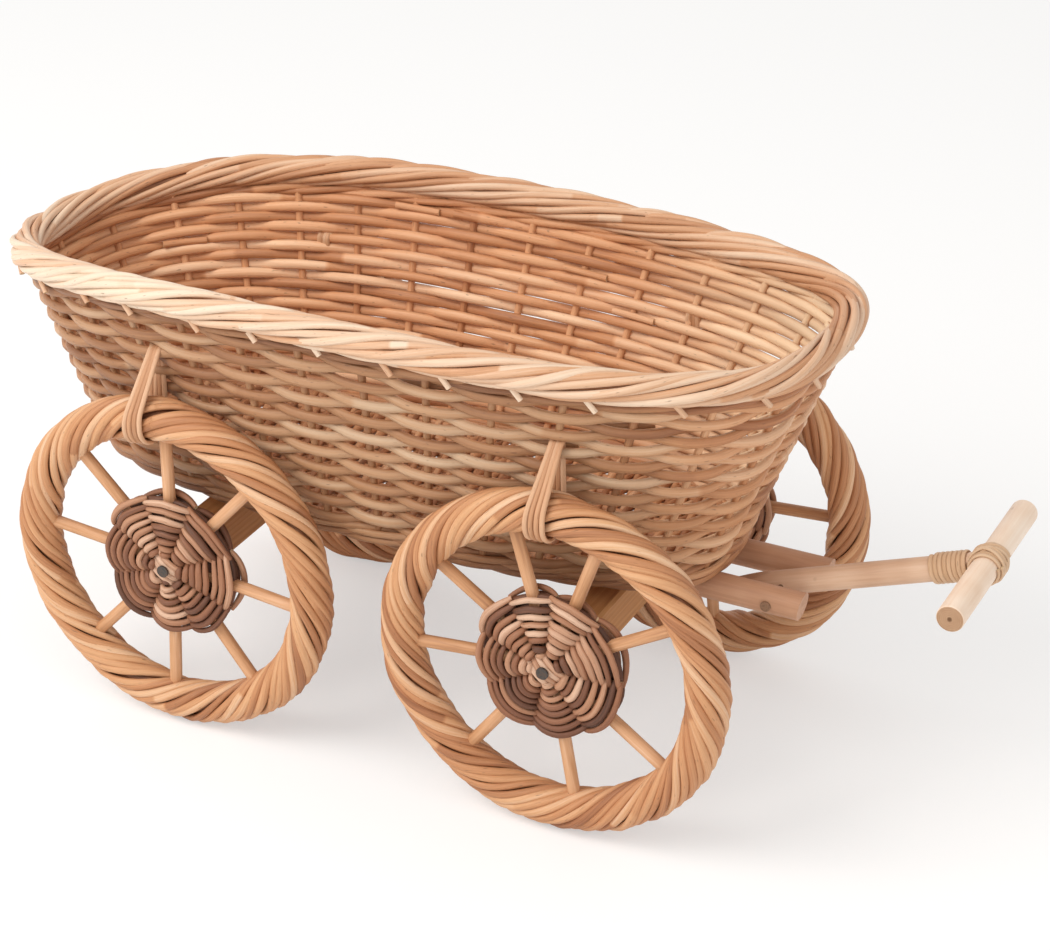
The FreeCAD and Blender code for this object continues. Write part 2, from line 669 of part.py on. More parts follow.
# lashing round the drawbar, next to the hand bar
pitch = 2 * size("lashRadius") + size("lashGap")
upright = Vector(-math.sin(rise), 0, math.cos(rise))
reach = size("drawbarRadius") + size("lashRadius") + size("seatGap")
clear = size("gripRadius") + 3 * size("lashRadius") + size("lashClear") + pitch * size("drawbarTurns") / 2
points, ways = helix(gripCentre - forward * clear, forward, upright, reach, pitch, size("drawbarTurns"))
lashing = doc.addObject("Part::Feature", "DrawbarLashing")
lashing.Shape = woundTube(points, ways, size("lashRadius"), "drawbar_lashing")
keep(lashing, "drawbar_lashing")

# lashing round the hand bar, over the joint
reach = size("gripRadius") + size("lashRadius") + size("seatGap")
points, ways = helix(gripCentre, Vector(0, 1, 0), forward, reach, pitch, size("gripTurns"))
lashing = doc.addObject("Part::Feature", "HandBarLashing")
lashing.Shape = woundTube(points, ways, size("lashRadius"), "hand_bar_lashing")
keep(lashing, "hand_bar_lashing")

# ---------------------------------------------------------------- check and write
doc.recompute()
for thing in doc.Objects:
    state = [word for word in thing.State if word in ("Invalid", "Error")]
    if state:
        raise RuntimeError("%s is %s" % (thing.Label, state))
for thing in pieces:
    if thing.Shape.isNull() or not thing.Shape.isValid() or not thing.Shape.Solids:
        raise RuntimeError("%s has no valid shape" % thing.Label)
for thing in pieces:
    thing.Shape.exportStep(os.path.join("parts", thing.Label + ".step"))
    box = thing.Shape.BoundBox
    print("%-28s %2d solids %9.0f mm3  x %.0f..%.0f y %.0f..%.0f z %.0f..%.0f" % (
        thing.Label, len(thing.Shape.Solids), thing.Shape.Volume,
        box.XMin, box.XMax, box.YMin, box.YMax, box.ZMin, box.ZMax))
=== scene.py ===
import bpy
import math
import numpy as np
from mathutils import Matrix, Vector


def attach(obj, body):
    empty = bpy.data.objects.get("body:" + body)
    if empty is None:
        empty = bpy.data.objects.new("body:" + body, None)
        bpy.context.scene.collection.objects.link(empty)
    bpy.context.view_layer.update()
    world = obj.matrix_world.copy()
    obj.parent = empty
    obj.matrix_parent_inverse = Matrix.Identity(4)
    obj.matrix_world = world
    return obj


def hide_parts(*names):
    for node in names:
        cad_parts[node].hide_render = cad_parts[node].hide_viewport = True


# Willow flower cart: the woven basket, rolled border, twisted wheels, woven hubs,
# ties and lashings are rods laid by formula; beams, rails, spokes and bars are the CAD's own.
# Metres, +X forward, +Y left, +Z up, ground at z 0.

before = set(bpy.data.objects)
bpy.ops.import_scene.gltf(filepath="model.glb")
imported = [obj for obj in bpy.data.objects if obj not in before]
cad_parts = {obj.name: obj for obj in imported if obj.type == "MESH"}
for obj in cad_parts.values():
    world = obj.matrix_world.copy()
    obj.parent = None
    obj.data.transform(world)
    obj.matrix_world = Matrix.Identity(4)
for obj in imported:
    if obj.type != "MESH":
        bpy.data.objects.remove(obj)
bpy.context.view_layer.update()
scene = bpy.context.scene
scene.view_settings.view_transform = "Standard"
chance = np.random.default_rng(20)
tau = 2 * np.pi
up = np.array([0.0, 0.0, 1.0])
left = np.array([0.0, 1.0, 0.0])
print("frame loaded", len(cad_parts), "nodes")


class Wire:
    # an output socket; arithmetic on it adds Math nodes
    def __init__(self, paint, socket):
        self.paint = paint
        self.socket = socket

    def __add__(self, other):
        return self.paint.maths("ADD", self, other)

    def __radd__(self, other):
        return self.paint.maths("ADD", other, self)

    def __sub__(self, other):
        return self.paint.maths("SUBTRACT", self, other)

    def __rsub__(self, other):
        return self.paint.maths("SUBTRACT", other, self)

    def __mul__(self, other):
        return self.paint.maths("MULTIPLY", self, other)

    def __gt__(self, other):
        return self.paint.maths("GREATER_THAN", self, other)


class Paint:
    # the nodes of one material, or of the world
    def __init__(self, block):
        block.use_nodes = True
        self.block = block
        self.tree = block.node_tree
        self.tree.nodes.clear()

    def node(self, kind, settings={}, inputs={}, out=0):
        item = self.tree.nodes.new("ShaderNode" + kind)
        for key, value in settings.items():
            if key == "stops":
                ramp = item.color_ramp.elements
                while len(ramp) < len(value):
                    ramp.new(0.5)
                for stop, (place, colour) in zip(ramp, value):
                    stop.position = place
                    stop.color = (*colour, 1)
            else:
                setattr(item, key, value)
        for key, value in inputs.items():
            if isinstance(value, Wire):
                self.tree.links.new(value.socket, item.inputs[key])
            else:
                item.inputs[key].default_value = value
        return Wire(self, item.outputs[out]) if item.outputs else None

    def maths(self, operation, first, second=0.0):
        return self.node("Math", {"operation": operation}, {0: first, 1: second})

    def objectPlace(self):
        return self.node("TexCoord", out="Object")

    def moved(self, vector, origin, turn):
        return self.node("Mapping", {"vector_type": "TEXTURE"},
                         {"Vector": vector, "Location": origin, "Rotation": turn})

    def axis(self, vector, number):
        return self.node("SeparateXYZ", inputs={0: vector}, out=number)

    def stored(self, name, out):
        return self.node("Attribute", {"attribute_name": name}, out=out)

    def noise(self, vector, scales, detail=2.0, rough=0.5):
        # scales: repeats per unit along each axis
        spread = self.node("VectorMath", {"operation": "MULTIPLY"}, {0: vector, 1: scales})
        inputs = {"Vector": spread, "Scale": 1.0, "Detail": detail, "Roughness": rough}
        return self.node("TexNoise", inputs=inputs)

    def ramp(self, value, stops):
        return self.node("ValToRGB", {"stops": stops}, {0: value})

    def between(self, value, low, high, start=0.0, end=1.0):
        inputs = {"Value": value, "From Min": low, "From Max": high, "To Min": start, "To Max": end}
        return self.node("MapRange", {"clamp": True}, inputs)

    def mixed(self, factor, first, second, kind="MIX"):
        if not isinstance(second, Wire):
            second = (*second, 1.0)
        return self.node("Mix", {"data_type": "RGBA", "blend_type": kind},
                         {0: factor, 6: first, 7: second}, out=2)

    def bump(self, height, distance):
        return self.node("Bump", {}, {"Height": height, "Distance": distance})

    def finish(self, colour, rough, normal, gloss=0.5, metal=0.0):
        inputs = {"Base Color": colour, "Roughness": rough, "Normal": normal,
                  "Specular IOR Level": gloss, "Metallic": metal}
        shader = self.node("BsdfPrincipled", inputs=inputs)
        self.node("OutputMaterial", {}, {"Surface": shader})
        return self.block


def newPaint(name):
    return Paint(bpy.data.materials.new(name))


# willow: the colour follows each rod's own length, tone and cut ends
willowLook = {
    "blotch": 0.55, "streak": 0.45, "knots": 0.55, "wash": 0.35, "relief": 0.0006,
    "stops": [(0.0, (0.16, 0.062, 0.028)), (0.25, (0.35, 0.145, 0.064)), (0.5, (0.54, 0.255, 0.118)),
              (0.72, (0.66, 0.355, 0.185)), (1.0, (0.78, 0.53, 0.34))],
    "knotColour": (0.15, 0.07, 0.035), "washColour": (0.84, 0.71, 0.68), "cutColour": (0.62, 0.44, 0.26),
    "blotchScales": (7.0, 0.5, 0.5), "streakScales": (16.0, 3.2, 3.2), "fibreScales": (55.0, 9.0, 9.0),
    "speckScales": (120.0, 2.4, 2.4), "washScales": (5.0, 5.0, 5.0), "gloss": 0.38,
}

# the wall alone, with painted light: brighter inside the basket and palest inside at its front end, as if lit
# there; duller outside on the right
wallSides = {
    "insideLightTint": (1.13, 1.13, 1.14), "frontLightColour": (0.9, 0.73, 0.5), "frontLightShare": 0.65,
    "dullColour": (0.74, 0.8, 0.84), "innerFrom": 0.2, "innerFull": -0.5, "paleFrom": 0.12, "paleFull": 0.34,
    "dullFrom": 0.02, "dullFull": -0.11, "dullAhead": 0.34, "dullBehind": 0.22,
}


def willowPaint(name, sides=None, **changes):
    look = dict(willowLook, **changes)
    paint = newPaint(name)
    grain = paint.stored("grain", 1)      # x along the rod, y and z round it
    tone = paint.stored("tone", 2)        # one rod darker or paler than the next
    cut = paint.stored("cut", 2)          # 1 on a cut end
    blotch = paint.noise(grain, look["blotchScales"])
    streak = paint.noise(grain, look["streakScales"], 4.0, 0.65)
    fibre = paint.noise(grain, look["fibreScales"])
    speck = paint.noise(grain, look["speckScales"], 1.0)
    shade = tone + (blotch - 0.5) * look["blotch"] + (streak - 0.5) * look["streak"]
    colour = paint.ramp(shade, look["stops"])
    knot = paint.between(speck, 0.7, 0.78)
    colour = paint.mixed(knot * look["knots"], colour, look["knotColour"])
    place = paint.objectPlace()
    wide = paint.between(paint.noise(place, look["washScales"], 1.0), 0.35, 0.7)
    colour = paint.mixed(wide * look["wash"], colour, look["washColour"], "MULTIPLY")
    if sides:
        inner = paint.between(paint.axis(grain, 2), sides["innerFrom"], sides["innerFull"])
        alongCart = paint.axis(place, 0)
        ahead = paint.between(alongCart, sides["paleFrom"], sides["paleFull"])
        right = paint.between(paint.axis(place, 1), sides["dullFrom"], sides["dullFull"])
        dull = (1.0 - inner) * right * paint.between(alongCart, sides["dullAhead"], sides["dullBehind"])
        # painted light: the inward-facing side is brightened, and at the front end it is painted pale cream as if
        # lit
        colour = paint.mixed(inner, colour, sides["insideLightTint"], "MULTIPLY")
        colour = paint.mixed(inner * ahead * sides["frontLightShare"], colour, sides["frontLightColour"])
        colour = paint.mixed(dull, colour, sides["dullColour"], "MULTIPLY")
    colour = paint.mixed(cut, colour, look["cutColour"])
    rough = 0.38 + fibre * 0.22 + cut * 0.25
    normal = paint.bump(streak * 0.6 + fibre * 0.4, look["relief"])
    return paint.finish(colour, rough, normal, look["gloss"])


def unit(vectors):
    return vectors / np.linalg.norm(vectors, axis=-1, keepdims=True)


def triple(x, y, z):
    return np.stack(np.broadcast_arrays(x, y, z), axis=-1)


def walkedLength(points):
    # length walked along a line up to each of its points
    steps = np.linalg.norm(np.diff(points, axis=-2), axis=-1)
    return np.concatenate([np.zeros(steps.shape[:-1] + (1,)), np.cumsum(steps, axis=-1)], axis=-1)


def along(paths, closed):
    # direction of every path at every point
    if closed:
        return unit(np.roll(paths, -1, axis=1) - np.roll(paths, 1, axis=1))
    return unit(np.gradient(paths, axis=1))


def rodSkin(paths, facing, width, thick, sides, closed, tone):
    # paths: rods x points x 3. The skin is path + side*width*cos(a) + out*thick*sin(a),
    # where out is 'facing' made square to the path and side is square to both
    rods, points = paths.shape[:2]
    way = along(paths, closed)
    side = unit(np.cross(way, np.broadcast_to(facing, paths.shape)))
    out = np.cross(side, way)
    width = np.broadcast_to(width, (rods, points))
    thick = np.broadcast_to(thick, (rods, points))
    tone = np.broadcast_to(tone, (rods, points))
    angle = tau * np.arange(sides) / sides
    skin = (paths[:, :, None] + side[:, :, None] * (width[:, :, None, None] * np.cos(angle)[:, None])
            + out[:, :, None] * (thick[:, :, None, None] * np.sin(angle)[:, None]))
    start = chance.uniform(0, 40, rods)      # no two rods show the same stretch of pattern
    grain = triple((walkedLength(paths) + start[:, None])[:, :, None], np.cos(angle), np.sin(angle))
    index = np.arange(rods * points * sides).reshape(rods, points, sides)
    ahead = np.roll(index, -1, axis=1)
    if not closed:
        index, ahead = index[:, :-1], ahead[:, :-1]
    quads = np.stack([index, ahead, np.roll(ahead, -1, axis=2), np.roll(index, -1, axis=2)], axis=-1)
    group = {"place": skin.reshape(-1, 3), "grain": grain.reshape(-1, 3), "tone": np.repeat(tone.ravel(), sides),
             "cut": np.zeros(rods * points * sides), "quads": quads.reshape(-1, 4), "tris": np.zeros((0, 3), int)}
    if closed:
        return group
    # each open end: the last ring again, flat, with a point in its middle
    for end, flip in ((0, False), (-1, True)):
        number = len(group["place"]) + np.arange(rods * (sides + 1)).reshape(rods, sides + 1)
        here, beyond = number[:, :sides], np.roll(number[:, :sides], -1, axis=1)
        centre = np.repeat(number[:, sides:], sides, axis=1)
        order = (centre, beyond, here) if flip else (centre, here, beyond)
        cap = {"tone": np.repeat(tone[:, end], sides + 1), "cut": np.ones(number.size),
               "tris": np.stack(order, axis=-1).reshape(-1, 3)}
        for key, values in (("place", skin[:, end]), ("grain", grain[:, end])):
            cap[key] = np.concatenate([values, values.mean(axis=1, keepdims=True)], axis=1).reshape(-1, 3)
        for key, values in cap.items():
            group[key] = np.concatenate([group[key], values])
    return group


def roundRods(paths, facing, radius, sides, closed, tone):
    return rodSkin(paths, facing, radius, radius, sides, closed, tone)


def buildPiece(name, groups, material, body, nodes):
    # puts groups of rods into one mesh, rides it on a body and hides the CAD nodes it stands for
    shift = np.cumsum([0] + [len(g["place"]) for g in groups[:-1]])
    place = np.concatenate([g["place"] for g in groups])
    quads = np.concatenate([g["quads"] + s for g, s in zip(groups, shift)])
    tris = np.concatenate([g["tris"] + s for g, s in zip(groups, shift)])
    mesh = bpy.data.meshes.new(name)
    mesh.vertices.add(len(place))
    mesh.vertices.foreach_set("co", place.astype(np.float32).ravel())
    mesh.loops.add(4 * len(quads) + 3 * len(tris))
    corners = np.concatenate([quads.ravel(), tris.ravel()])
    mesh.loops.foreach_set("vertex_index", corners.astype(np.int32))
    mesh.polygons.add(len(quads) + len(tris))
    starts = np.concatenate([4 * np.arange(len(quads)), 4 * len(quads) + 3 * np.arange(len(tris))])
    mesh.polygons.foreach_set("loop_start", starts.astype(np.int32))
    smooth = np.arange(len(starts)) < len(quads)      # cut ends stay flat
    mesh.polygons.foreach_set("use_smooth", smooth)
    mesh.update(calc_edges=True)
    for key, kind, field in (("grain", "FLOAT_VECTOR", "vector"), ("tone", "FLOAT", "value"),
                             ("cut", "FLOAT", "value")):
        values = np.concatenate([g[key] for g in groups]).astype(np.float32).ravel()
        mesh.attributes.new(key, kind, "POINT").data.foreach_set(field, values)
    mesh.materials.append(material)
    piece = bpy.data.objects.new(name, mesh)
    scene.collection.objects.link(piece)
    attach(piece, body)
    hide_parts(*nodes)
    print(name, len(place), "points", 2 * len(quads) + len(tris), "triangles")


def ripple(shape, periods, seed):
    # smooth closed noise along the last axis: a few sine waves with whole periods, about -1 to 1
    source = np.random.default_rng(seed)
    rows, points = shape
    place = tau * np.arange(points) / points
    total = np.zeros(shape)
    for period in periods:
        phase = source.uniform(0, tau, (rows, 1))
        total += np.sin(period * place + phase) * source.uniform(0.4, 1.0, (rows, 1))
    return total / len(periods) ** 0.5 / 0.75


def pieceTone(rows, points, joints, seed, low, high):
    # each closed row is made of several rods; tone steps from one rod to the next
    source = np.random.default_rng(seed)
    tone = np.empty((rows, points))
    for row in range(rows):
        edges = np.sort(source.integers(0, points, joints))
        values = source.uniform(low, high, joints)
        tone[row] = values[np.searchsorted(edges, np.arange(points)) % joints]
    return tone


# wall, floor and border share one outline
basket = {
    "baseLength": 0.67, "baseWidth": 0.238, "baseMiddle": -0.036, "baseHeight": 0.2213,
    "rimLength": 0.834, "rimWidth": 0.358, "rimMiddle": -0.0265,
    "rimHeight": 0.457, "rimFront": 0.461, "rimRear": 0.414,
    "frontRoundness": 2.85, "rearRoundness": 2.4,
}
baseLine = (basket["baseLength"], basket["baseWidth"], basket["baseMiddle"])
rimLine = (basket["rimLength"], basket["rimWidth"], basket["rimMiddle"])
middleLine = (0.5 * (baseLine[0] + rimLine[0]), 0.5 * (baseLine[1] + rimLine[1]), -0.031)


def oval(turn, length, width, middle):
    # flat oval point at a turn; n differs in front and behind:
    # reach = (|cos|^n/(l/2)^n + |sin|^n/(w/2)^n)^(-1/n)
    angle = np.arctan2(width * np.sin(turn), length * np.cos(turn))
    n = np.where(np.cos(angle) > 0, basket["frontRoundness"], basket["rearRoundness"])
    c = np.abs(np.cos(angle)) / (length / 2)
    s = np.abs(np.sin(angle)) / (width / 2)
    reach = (c ** n + s ** n) ** (-1 / n)
    return middle + reach * np.cos(angle), reach * np.sin(angle)


def rimHeightAt(x):
    u = (x - basket["rimMiddle"]) / (basket["rimLength"] / 2)
    bend = (basket["rimFront"] + basket["rimRear"]) / 2 - basket["rimHeight"]
    lean = (basket["rimFront"] - basket["rimRear"]) / 2
    return basket["rimHeight"] + bend * u * u + lean * u ** 3


def rimPoint(turn):
    x, y = oval(turn, *rimLine)
    return triple(x, y, rimHeightAt(x))


def wallLevel(turn, share):
    # point at a share of the straight line from the base oval to the rim line, and that line's own run
    bx, by = oval(turn, *baseLine)
    rx, ry = oval(turn, *rimLine)
    rise = rimHeightAt(rx) - basket["baseHeight"]
    return bx + (rx - bx) * share, by + (ry - by) * share, rx - bx, ry - by, rise


def wallOut(turn, share):
    # unit vector out of the wall, square to the outline and to the line that climbs the wall
    step = 0.002
    x0, y0 = wallLevel(turn - step, share)[:2]
    x1, y1, dx, dy, dz = wallLevel(turn + step, share)
    return unit(np.cross(triple(x1 - x0, y1 - y0, 0.0), triple(dx, dy, dz)))


def wallPoint(turn, share, offset):
    # point of the wall, moved square to it by an offset
    turn, share = np.broadcast_arrays(turn, share)
    x, y, _, _, rise = wallLevel(turn, share)
    line = triple(x, y, basket["baseHeight"] + rise * share)
    return line + wallOut(turn, share) * np.asarray(offset)[..., None]


def evenTurns(length, width, middle, place):
    # turns at which the oval has been walked by the given shares of its length
    dense = np.linspace(0, tau, 4001)
    x, y = oval(dense, length, width, middle)
    walked = np.concatenate([[0], np.cumsum(np.hypot(np.diff(x), np.diff(y)))])
    whole, part = np.floor(place), place - np.floor(place)
    return np.interp(part * walked[-1], walked, dense) + whole * tau


wall = {
    "stakes": 30, "rows": 20, "perStake": 12, "sides": 8, "rodWidth": 0.0052, "rodThick": 0.0041,
    "swing": 0.0043, "drop": 0.0042, "lens": 0.05, "bottom": 0.06, "top": 0.905, "jointsPerRow": 5,
    "stakeRadius": 0.0038, "stakeFrom": -0.01, "stakeTo": 0.97, "endCount": 16, "endRows": 7,
    "endWidth": 0.0036, "endThick": 0.003, "endRise": 0.012,
}
wale = {"shares": (0.012, 0.046, 0.925), "rise": 0.013, "out": 0.0012, "width": 0.0041, "thick": 0.0034,
        "sides": 7, "joints": 4, "tone": 0.42, "toneSpread": 0.2, "seed": 61}


def rowShare(row):
    return wall["bottom"] + (row + 0.5) / wall["rows"] * (wall["top"] - wall["bottom"])


def waleRods(place, turn):
    # three rods per course, each in front of two stakes and behind the third, laid like a rope:
    # offset = swing*cos(2 pi (place + rod)/3), height = share + rise*sin of the same angle
    course, rod = np.divmod(np.arange(3 * len(wale["shares"])), 3)
    shape = (len(rod), len(place))
    angle = tau * (place[None, :] + rod[:, None]) / 3
    share = np.asarray(wale["shares"])[course][:, None] + wale["rise"] * np.sin(angle)
    share = share + ripple(shape, (2, 7), wale["seed"]) * 0.002
    offset = wale["out"] + wall["swing"] * 0.95 * np.cos(angle)
    swell = 1 + ripple(shape, (1, 4, 9), wale["seed"] + 1) * 0.1
    tones = pieceTone(*shape, wale["joints"], wale["seed"] + 2,
                      wale["tone"] - wale["toneSpread"], wale["tone"] + wale["toneSpread"])
    return rodSkin(wallPoint(turn, share, offset), wallOut(turn, share), wale["width"] * swell,
                   wale["thick"] * swell, wale["sides"], True, tones)


def makeWall():
    shape = (wall["rows"], wall["stakes"] * wall["perStake"])
    place = np.arange(shape[1]) / wall["perStake"]
    turn = evenTurns(*middleLine, place / wall["stakes"])[None, :]
    row = np.arange(wall["rows"])[:, None]
    share = rowShare(row) + ripple(shape, (2, 5, 9), 3) * 0.0015
    wave = np.cos(np.pi * (place[None, :] + row))            # in front of one stake, behind the next
    offset = wall["swing"] * np.tanh(1.2 * wave) / np.tanh(1.2)
    share = share - wall["drop"] * wave                      # a rod sits lower outside a stake than inside one
    swell = 1 + ripple(shape, (1, 3, 7), 4) * 0.06
    tone = pieceTone(*shape, wall["jointsPerRow"], 5, 0.34, 0.9) - 0.16 * np.abs(share - 0.55)
    broad = 1.0 + wall["lens"] * wave ** 2                   # widest where it lies over a stake
    weavers = rodSkin(wallPoint(turn, share, offset), wallOut(turn, share), wall["rodWidth"] * swell * broad,
                      wall["rodThick"] * swell, wall["sides"], True, tone)
    courses = waleRods(place, turn)
    # stakes: one upright rod each, from the base to the border
    heights = np.linspace(wall["stakeFrom"], wall["stakeTo"], 16)[None, :]
    turns = evenTurns(*middleLine, np.arange(wall["stakes"]) / wall["stakes"])[:, None]
    stakes = roundRods(wallPoint(turns, heights, 0.0), wallOut(turns, heights), wall["stakeRadius"], 8, False,
                       chance.uniform(0.35, 0.75, (wall["stakes"], 1)))
    # ends of weavers left inside near the top, each cut on its way past a stake
    count = wall["endCount"]
    rowAt = chance.integers(wall["rows"] - wall["endRows"], wall["rows"], count)
    stakeAt = chance.integers(0, wall["stakes"], count)
    reach = np.linspace(-0.42, 0.3, 7)[None, :]              # in stakes, before and after the one it passes
    endTurn = evenTurns(*middleLine, (stakeAt[:, None] + reach) / wall["stakes"])
    endShare = rowShare(rowAt[:, None]) + wall["endRise"] * reach
    inside = -(0.003 + 0.0062 * np.clip(reach + 0.45, 0, 1))
    endLine = wallPoint(endTurn, endShare, inside * np.ones((count, 1)))
    ends = rodSkin(endLine, wallOut(endTurn, endShare), wall["endWidth"], wall["endThick"], 8, False,
                   chance.uniform(0.4, 0.8, (count, 1)))
    paint = willowPaint("wallWillow", wallSides)
    buildPiece("wicker_wall", [weavers, courses, stakes, ends], paint, "cart", ["basket_wall"])


border = {
    "strands": 10, "turns": 5, "points": 640, "sides": 8, "reach": 0.0118, "rod": 0.0038, "flat": 0.92,
    "band": 5, "bandPitch": 0.61, "joints": 9, "core": 0.01, "coreSides": 10,
    "overlays": 30, "overlayRod": 0.004, "overlayFrom": -0.75, "overlaySweep": 2.9, "overlayLift": 0.0046,
    "stubs": 30, "stubRadius": 0.0027, "stubLength": 0.017,
    "stubOut": 0.007, "stubDown": 0.0105, "stubBack": 0.004,
}
borderWillow = willowPaint("borderWillow", wash=0.2, stops=[
    (0.0, (0.2, 0.08, 0.036)), (0.25, (0.44, 0.2, 0.095)), (0.5, (0.62, 0.335, 0.18)),
    (0.72, (0.72, 0.48, 0.32)), (1.0, (0.8, 0.65, 0.5))])


def litSideTone(paths):
    # painted light: the near rear side is painted palest, as if lit most; the far side and the front end keep more
    # colour
    near = np.clip((0.06 - paths[..., 1]) / 0.16, 0, 1)
    rear = np.clip((0.2 - paths[..., 0]) / 0.45, 0, 1)
    return 0.5 + 0.12 * near + 0.24 * near * rear


def borderStrands(line):
    # two bands of five rods twisted round the rim line
    shape = (border["strands"], border["points"])
    place = np.arange(border["points"]) / border["points"]
    way = along(line, True)
    out = unit(np.cross(way, up))
    lift = np.cross(out, way)
    band, member = np.divmod(np.arange(border["strands"])[:, None], border["band"])
    start = band * np.pi + (member - 2) * border["bandPitch"]
    angle = start + tau * border["turns"] * place[None, :] + ripple(shape, (3, 8, 13), 11) * 0.1
    reach = border["reach"] * (1 + ripple(shape, (5, 11, 17), 12) * 0.07) + (member == 1) * 0.0006
    radial = out * np.cos(angle)[..., None] + lift * np.sin(angle)[..., None]
    paths = line + radial * reach[..., None]
    rod = border["rod"] * (1 + ripple(shape, (4, 9), 13) * 0.1)
    # the tone includes painted light, palest on the near rear side
    tone = pieceTone(*shape, border["joints"], 14, -0.2, 0.22) + litSideTone(paths)
    return rodSkin(paths, radial, rod, rod * border["flat"], border["sides"], True, tone)


def borderRolls():
    # rods rolled over the top, from outside below to inside above, thin where they dive under
    count = border["overlays"]
    part = np.linspace(0, 1, 26)[None, :]
    source = np.random.default_rng(71)
    begin = (np.arange(count)[:, None] + source.uniform(-0.2, 0.2, (count, 1))) / count
    length = source.uniform(0.055, 0.085, (count, 1))
    turn = evenTurns(*rimLine, begin + length * part)
    base = rimPoint(turn)
    ahead = unit(rimPoint(turn + 0.004) - base)
    away = unit(np.cross(ahead, up))
    high = np.cross(away, ahead)
    angle = border["overlayFrom"] + (border["overlaySweep"] + source.uniform(-0.3, 0.3, (count, 1))) * part
    dive = np.sin(np.pi * np.clip(part, 0.0, 1.0)) ** 0.45
    reach = border["reach"] - 0.0022 + border["overlayLift"] * dive
    radial = away * np.cos(angle)[..., None] + high * np.sin(angle)[..., None]
    paths = base + radial * reach[..., None]
    thin = border["overlayRod"] * (0.72 + 0.28 * dive) * source.uniform(0.88, 1.08, (count, 1))
    # the tone includes painted light, palest on the near rear side
    tone = source.uniform(-0.12, 0.25, (count, 1)) + litSideTone(paths)
    return rodSkin(paths, radial, thin, thin * 0.9, border["sides"], False, tone)


def borderStubs():
    # stake ends that come out under the border and are cut, pointing down and along the rim
    count = border["stubs"]
    turn = evenTurns(*rimLine, (np.arange(count) + 0.35) / count + chance.uniform(-0.004, 0.004, count))
    root = rimPoint(turn)
    ahead = unit(rimPoint(turn + 0.01) - root)
    outward = np.cross(ahead, up)
    length = chance.uniform(0.45, 1.1, (count, 1, 1)) * border["stubLength"]
    start = root + outward * border["stubOut"] - up * border["stubDown"] - ahead * border["stubBack"]
    way = ahead[:, None] * 0.62 - outward[:, None] * 0.04 - up * 0.78
    paths = start[:, None] + way * length * np.linspace(0, 1, 6)[None, :, None]
    tone = chance.uniform(0.55, 0.95, (count, 1))
    return roundRods(paths, outward[:, None], border["stubRadius"], 8, False, tone)


def makeBorder():
    line = rimPoint(evenTurns(*rimLine, np.arange(border["points"]) / border["points"]))[None]
    strands = borderStrands(line)
    rolls = borderRolls()
    # the core rod takes a dark tone, which is painted shade where it shows between the strands
    core = roundRods(line, up, border["core"], border["coreSides"], True, 0.15)
    groups = [strands, rolls, core, borderStubs()]
    buildPiece("rolled_border", groups, borderWillow, "cart", ["basket_border"])


# the basket's woven floor
mat = {"sticks": 8, "stickRadius": 0.0036, "pitch": 0.0066, "rodRadius": 0.0031, "swing": 0.0032,
       "height": 0.2303, "sides": 6, "inset": 0.012, "stickInset": 0.004,
       "edgeInsets": (0.003, 0.014), "edgeRadius": 0.0036, "edgeLift": 0.0012, "edgePoints": 240}


def makeFloor():
    # weavers cross the sticks over one and under the next: height = swing*cos(pi*(place + row))
    length, width, middle = baseLine
    wide = width - mat["inset"]
    dense = np.linspace(0, tau, 2001)
    ox, oy = oval(dense, length - mat["inset"], wide, middle)
    upper = dense <= np.pi
    rowX = np.arange(ox.min() + 0.004, ox.max() - 0.002, mat["pitch"])
    halfWidth = np.interp(rowX, ox[upper][::-1], oy[upper][::-1])
    points = 8 * (mat["sticks"] + 1)
    y = halfWidth[:, None] * np.linspace(-1, 1, points)[None, :]
    gap = wide / mat["sticks"]
    row = np.arange(len(rowX))[:, None]
    z = mat["height"] + mat["swing"] * np.cos(np.pi * (y / gap + 0.5 + row))
    x = rowX[:, None] + ripple((len(rowX), points), (1, 2), 21) * 0.0004
    weavers = rodSkin(triple(x, y, z), up, mat["rodRadius"] * 1.1, mat["rodRadius"], mat["sides"], False,
                      chance.uniform(0.2, 0.75, (len(rowX), 1)))
    stickY = (np.arange(mat["sticks"]) - (mat["sticks"] - 1) / 2) * gap
    frontX = np.array([ox[(oy > abs(v) - 0.0015)].max() for v in stickY]) - mat["stickInset"]
    rearX = np.array([ox[(oy > abs(v) - 0.0015)].min() for v in stickY]) + mat["stickInset"]
    reach = np.linspace(0, 1, 24)[None, :]
    stickX = rearX[:, None] + (frontX - rearX)[:, None] * reach
    stickLine = triple(stickX, stickY[:, None], mat["height"])
    sticks = roundRods(stickLine, up, mat["stickRadius"], 8, False, 0.45)
    # two rods run round the edge, where the floor meets the wall
    edgeTurn = np.linspace(0, tau, mat["edgePoints"], endpoint=False)
    edgeLines = []
    for inset in mat["edgeInsets"]:
        x, y = oval(edgeTurn, length - inset, width - inset, middle)
        edgeLines.append(triple(x, y, mat["height"] + mat["edgeLift"]))
    edge = roundRods(np.array(edgeLines), up, mat["edgeRadius"], 8, True, 0.4)
    paint = willowPaint("floorWillow", wash=0.45)
    buildPiece("woven_bottom", [weavers, sticks, edge], paint, "cart", ["basket_floor"])


makeWall()
makeBorder()
makeFloor()
print("basket woven")


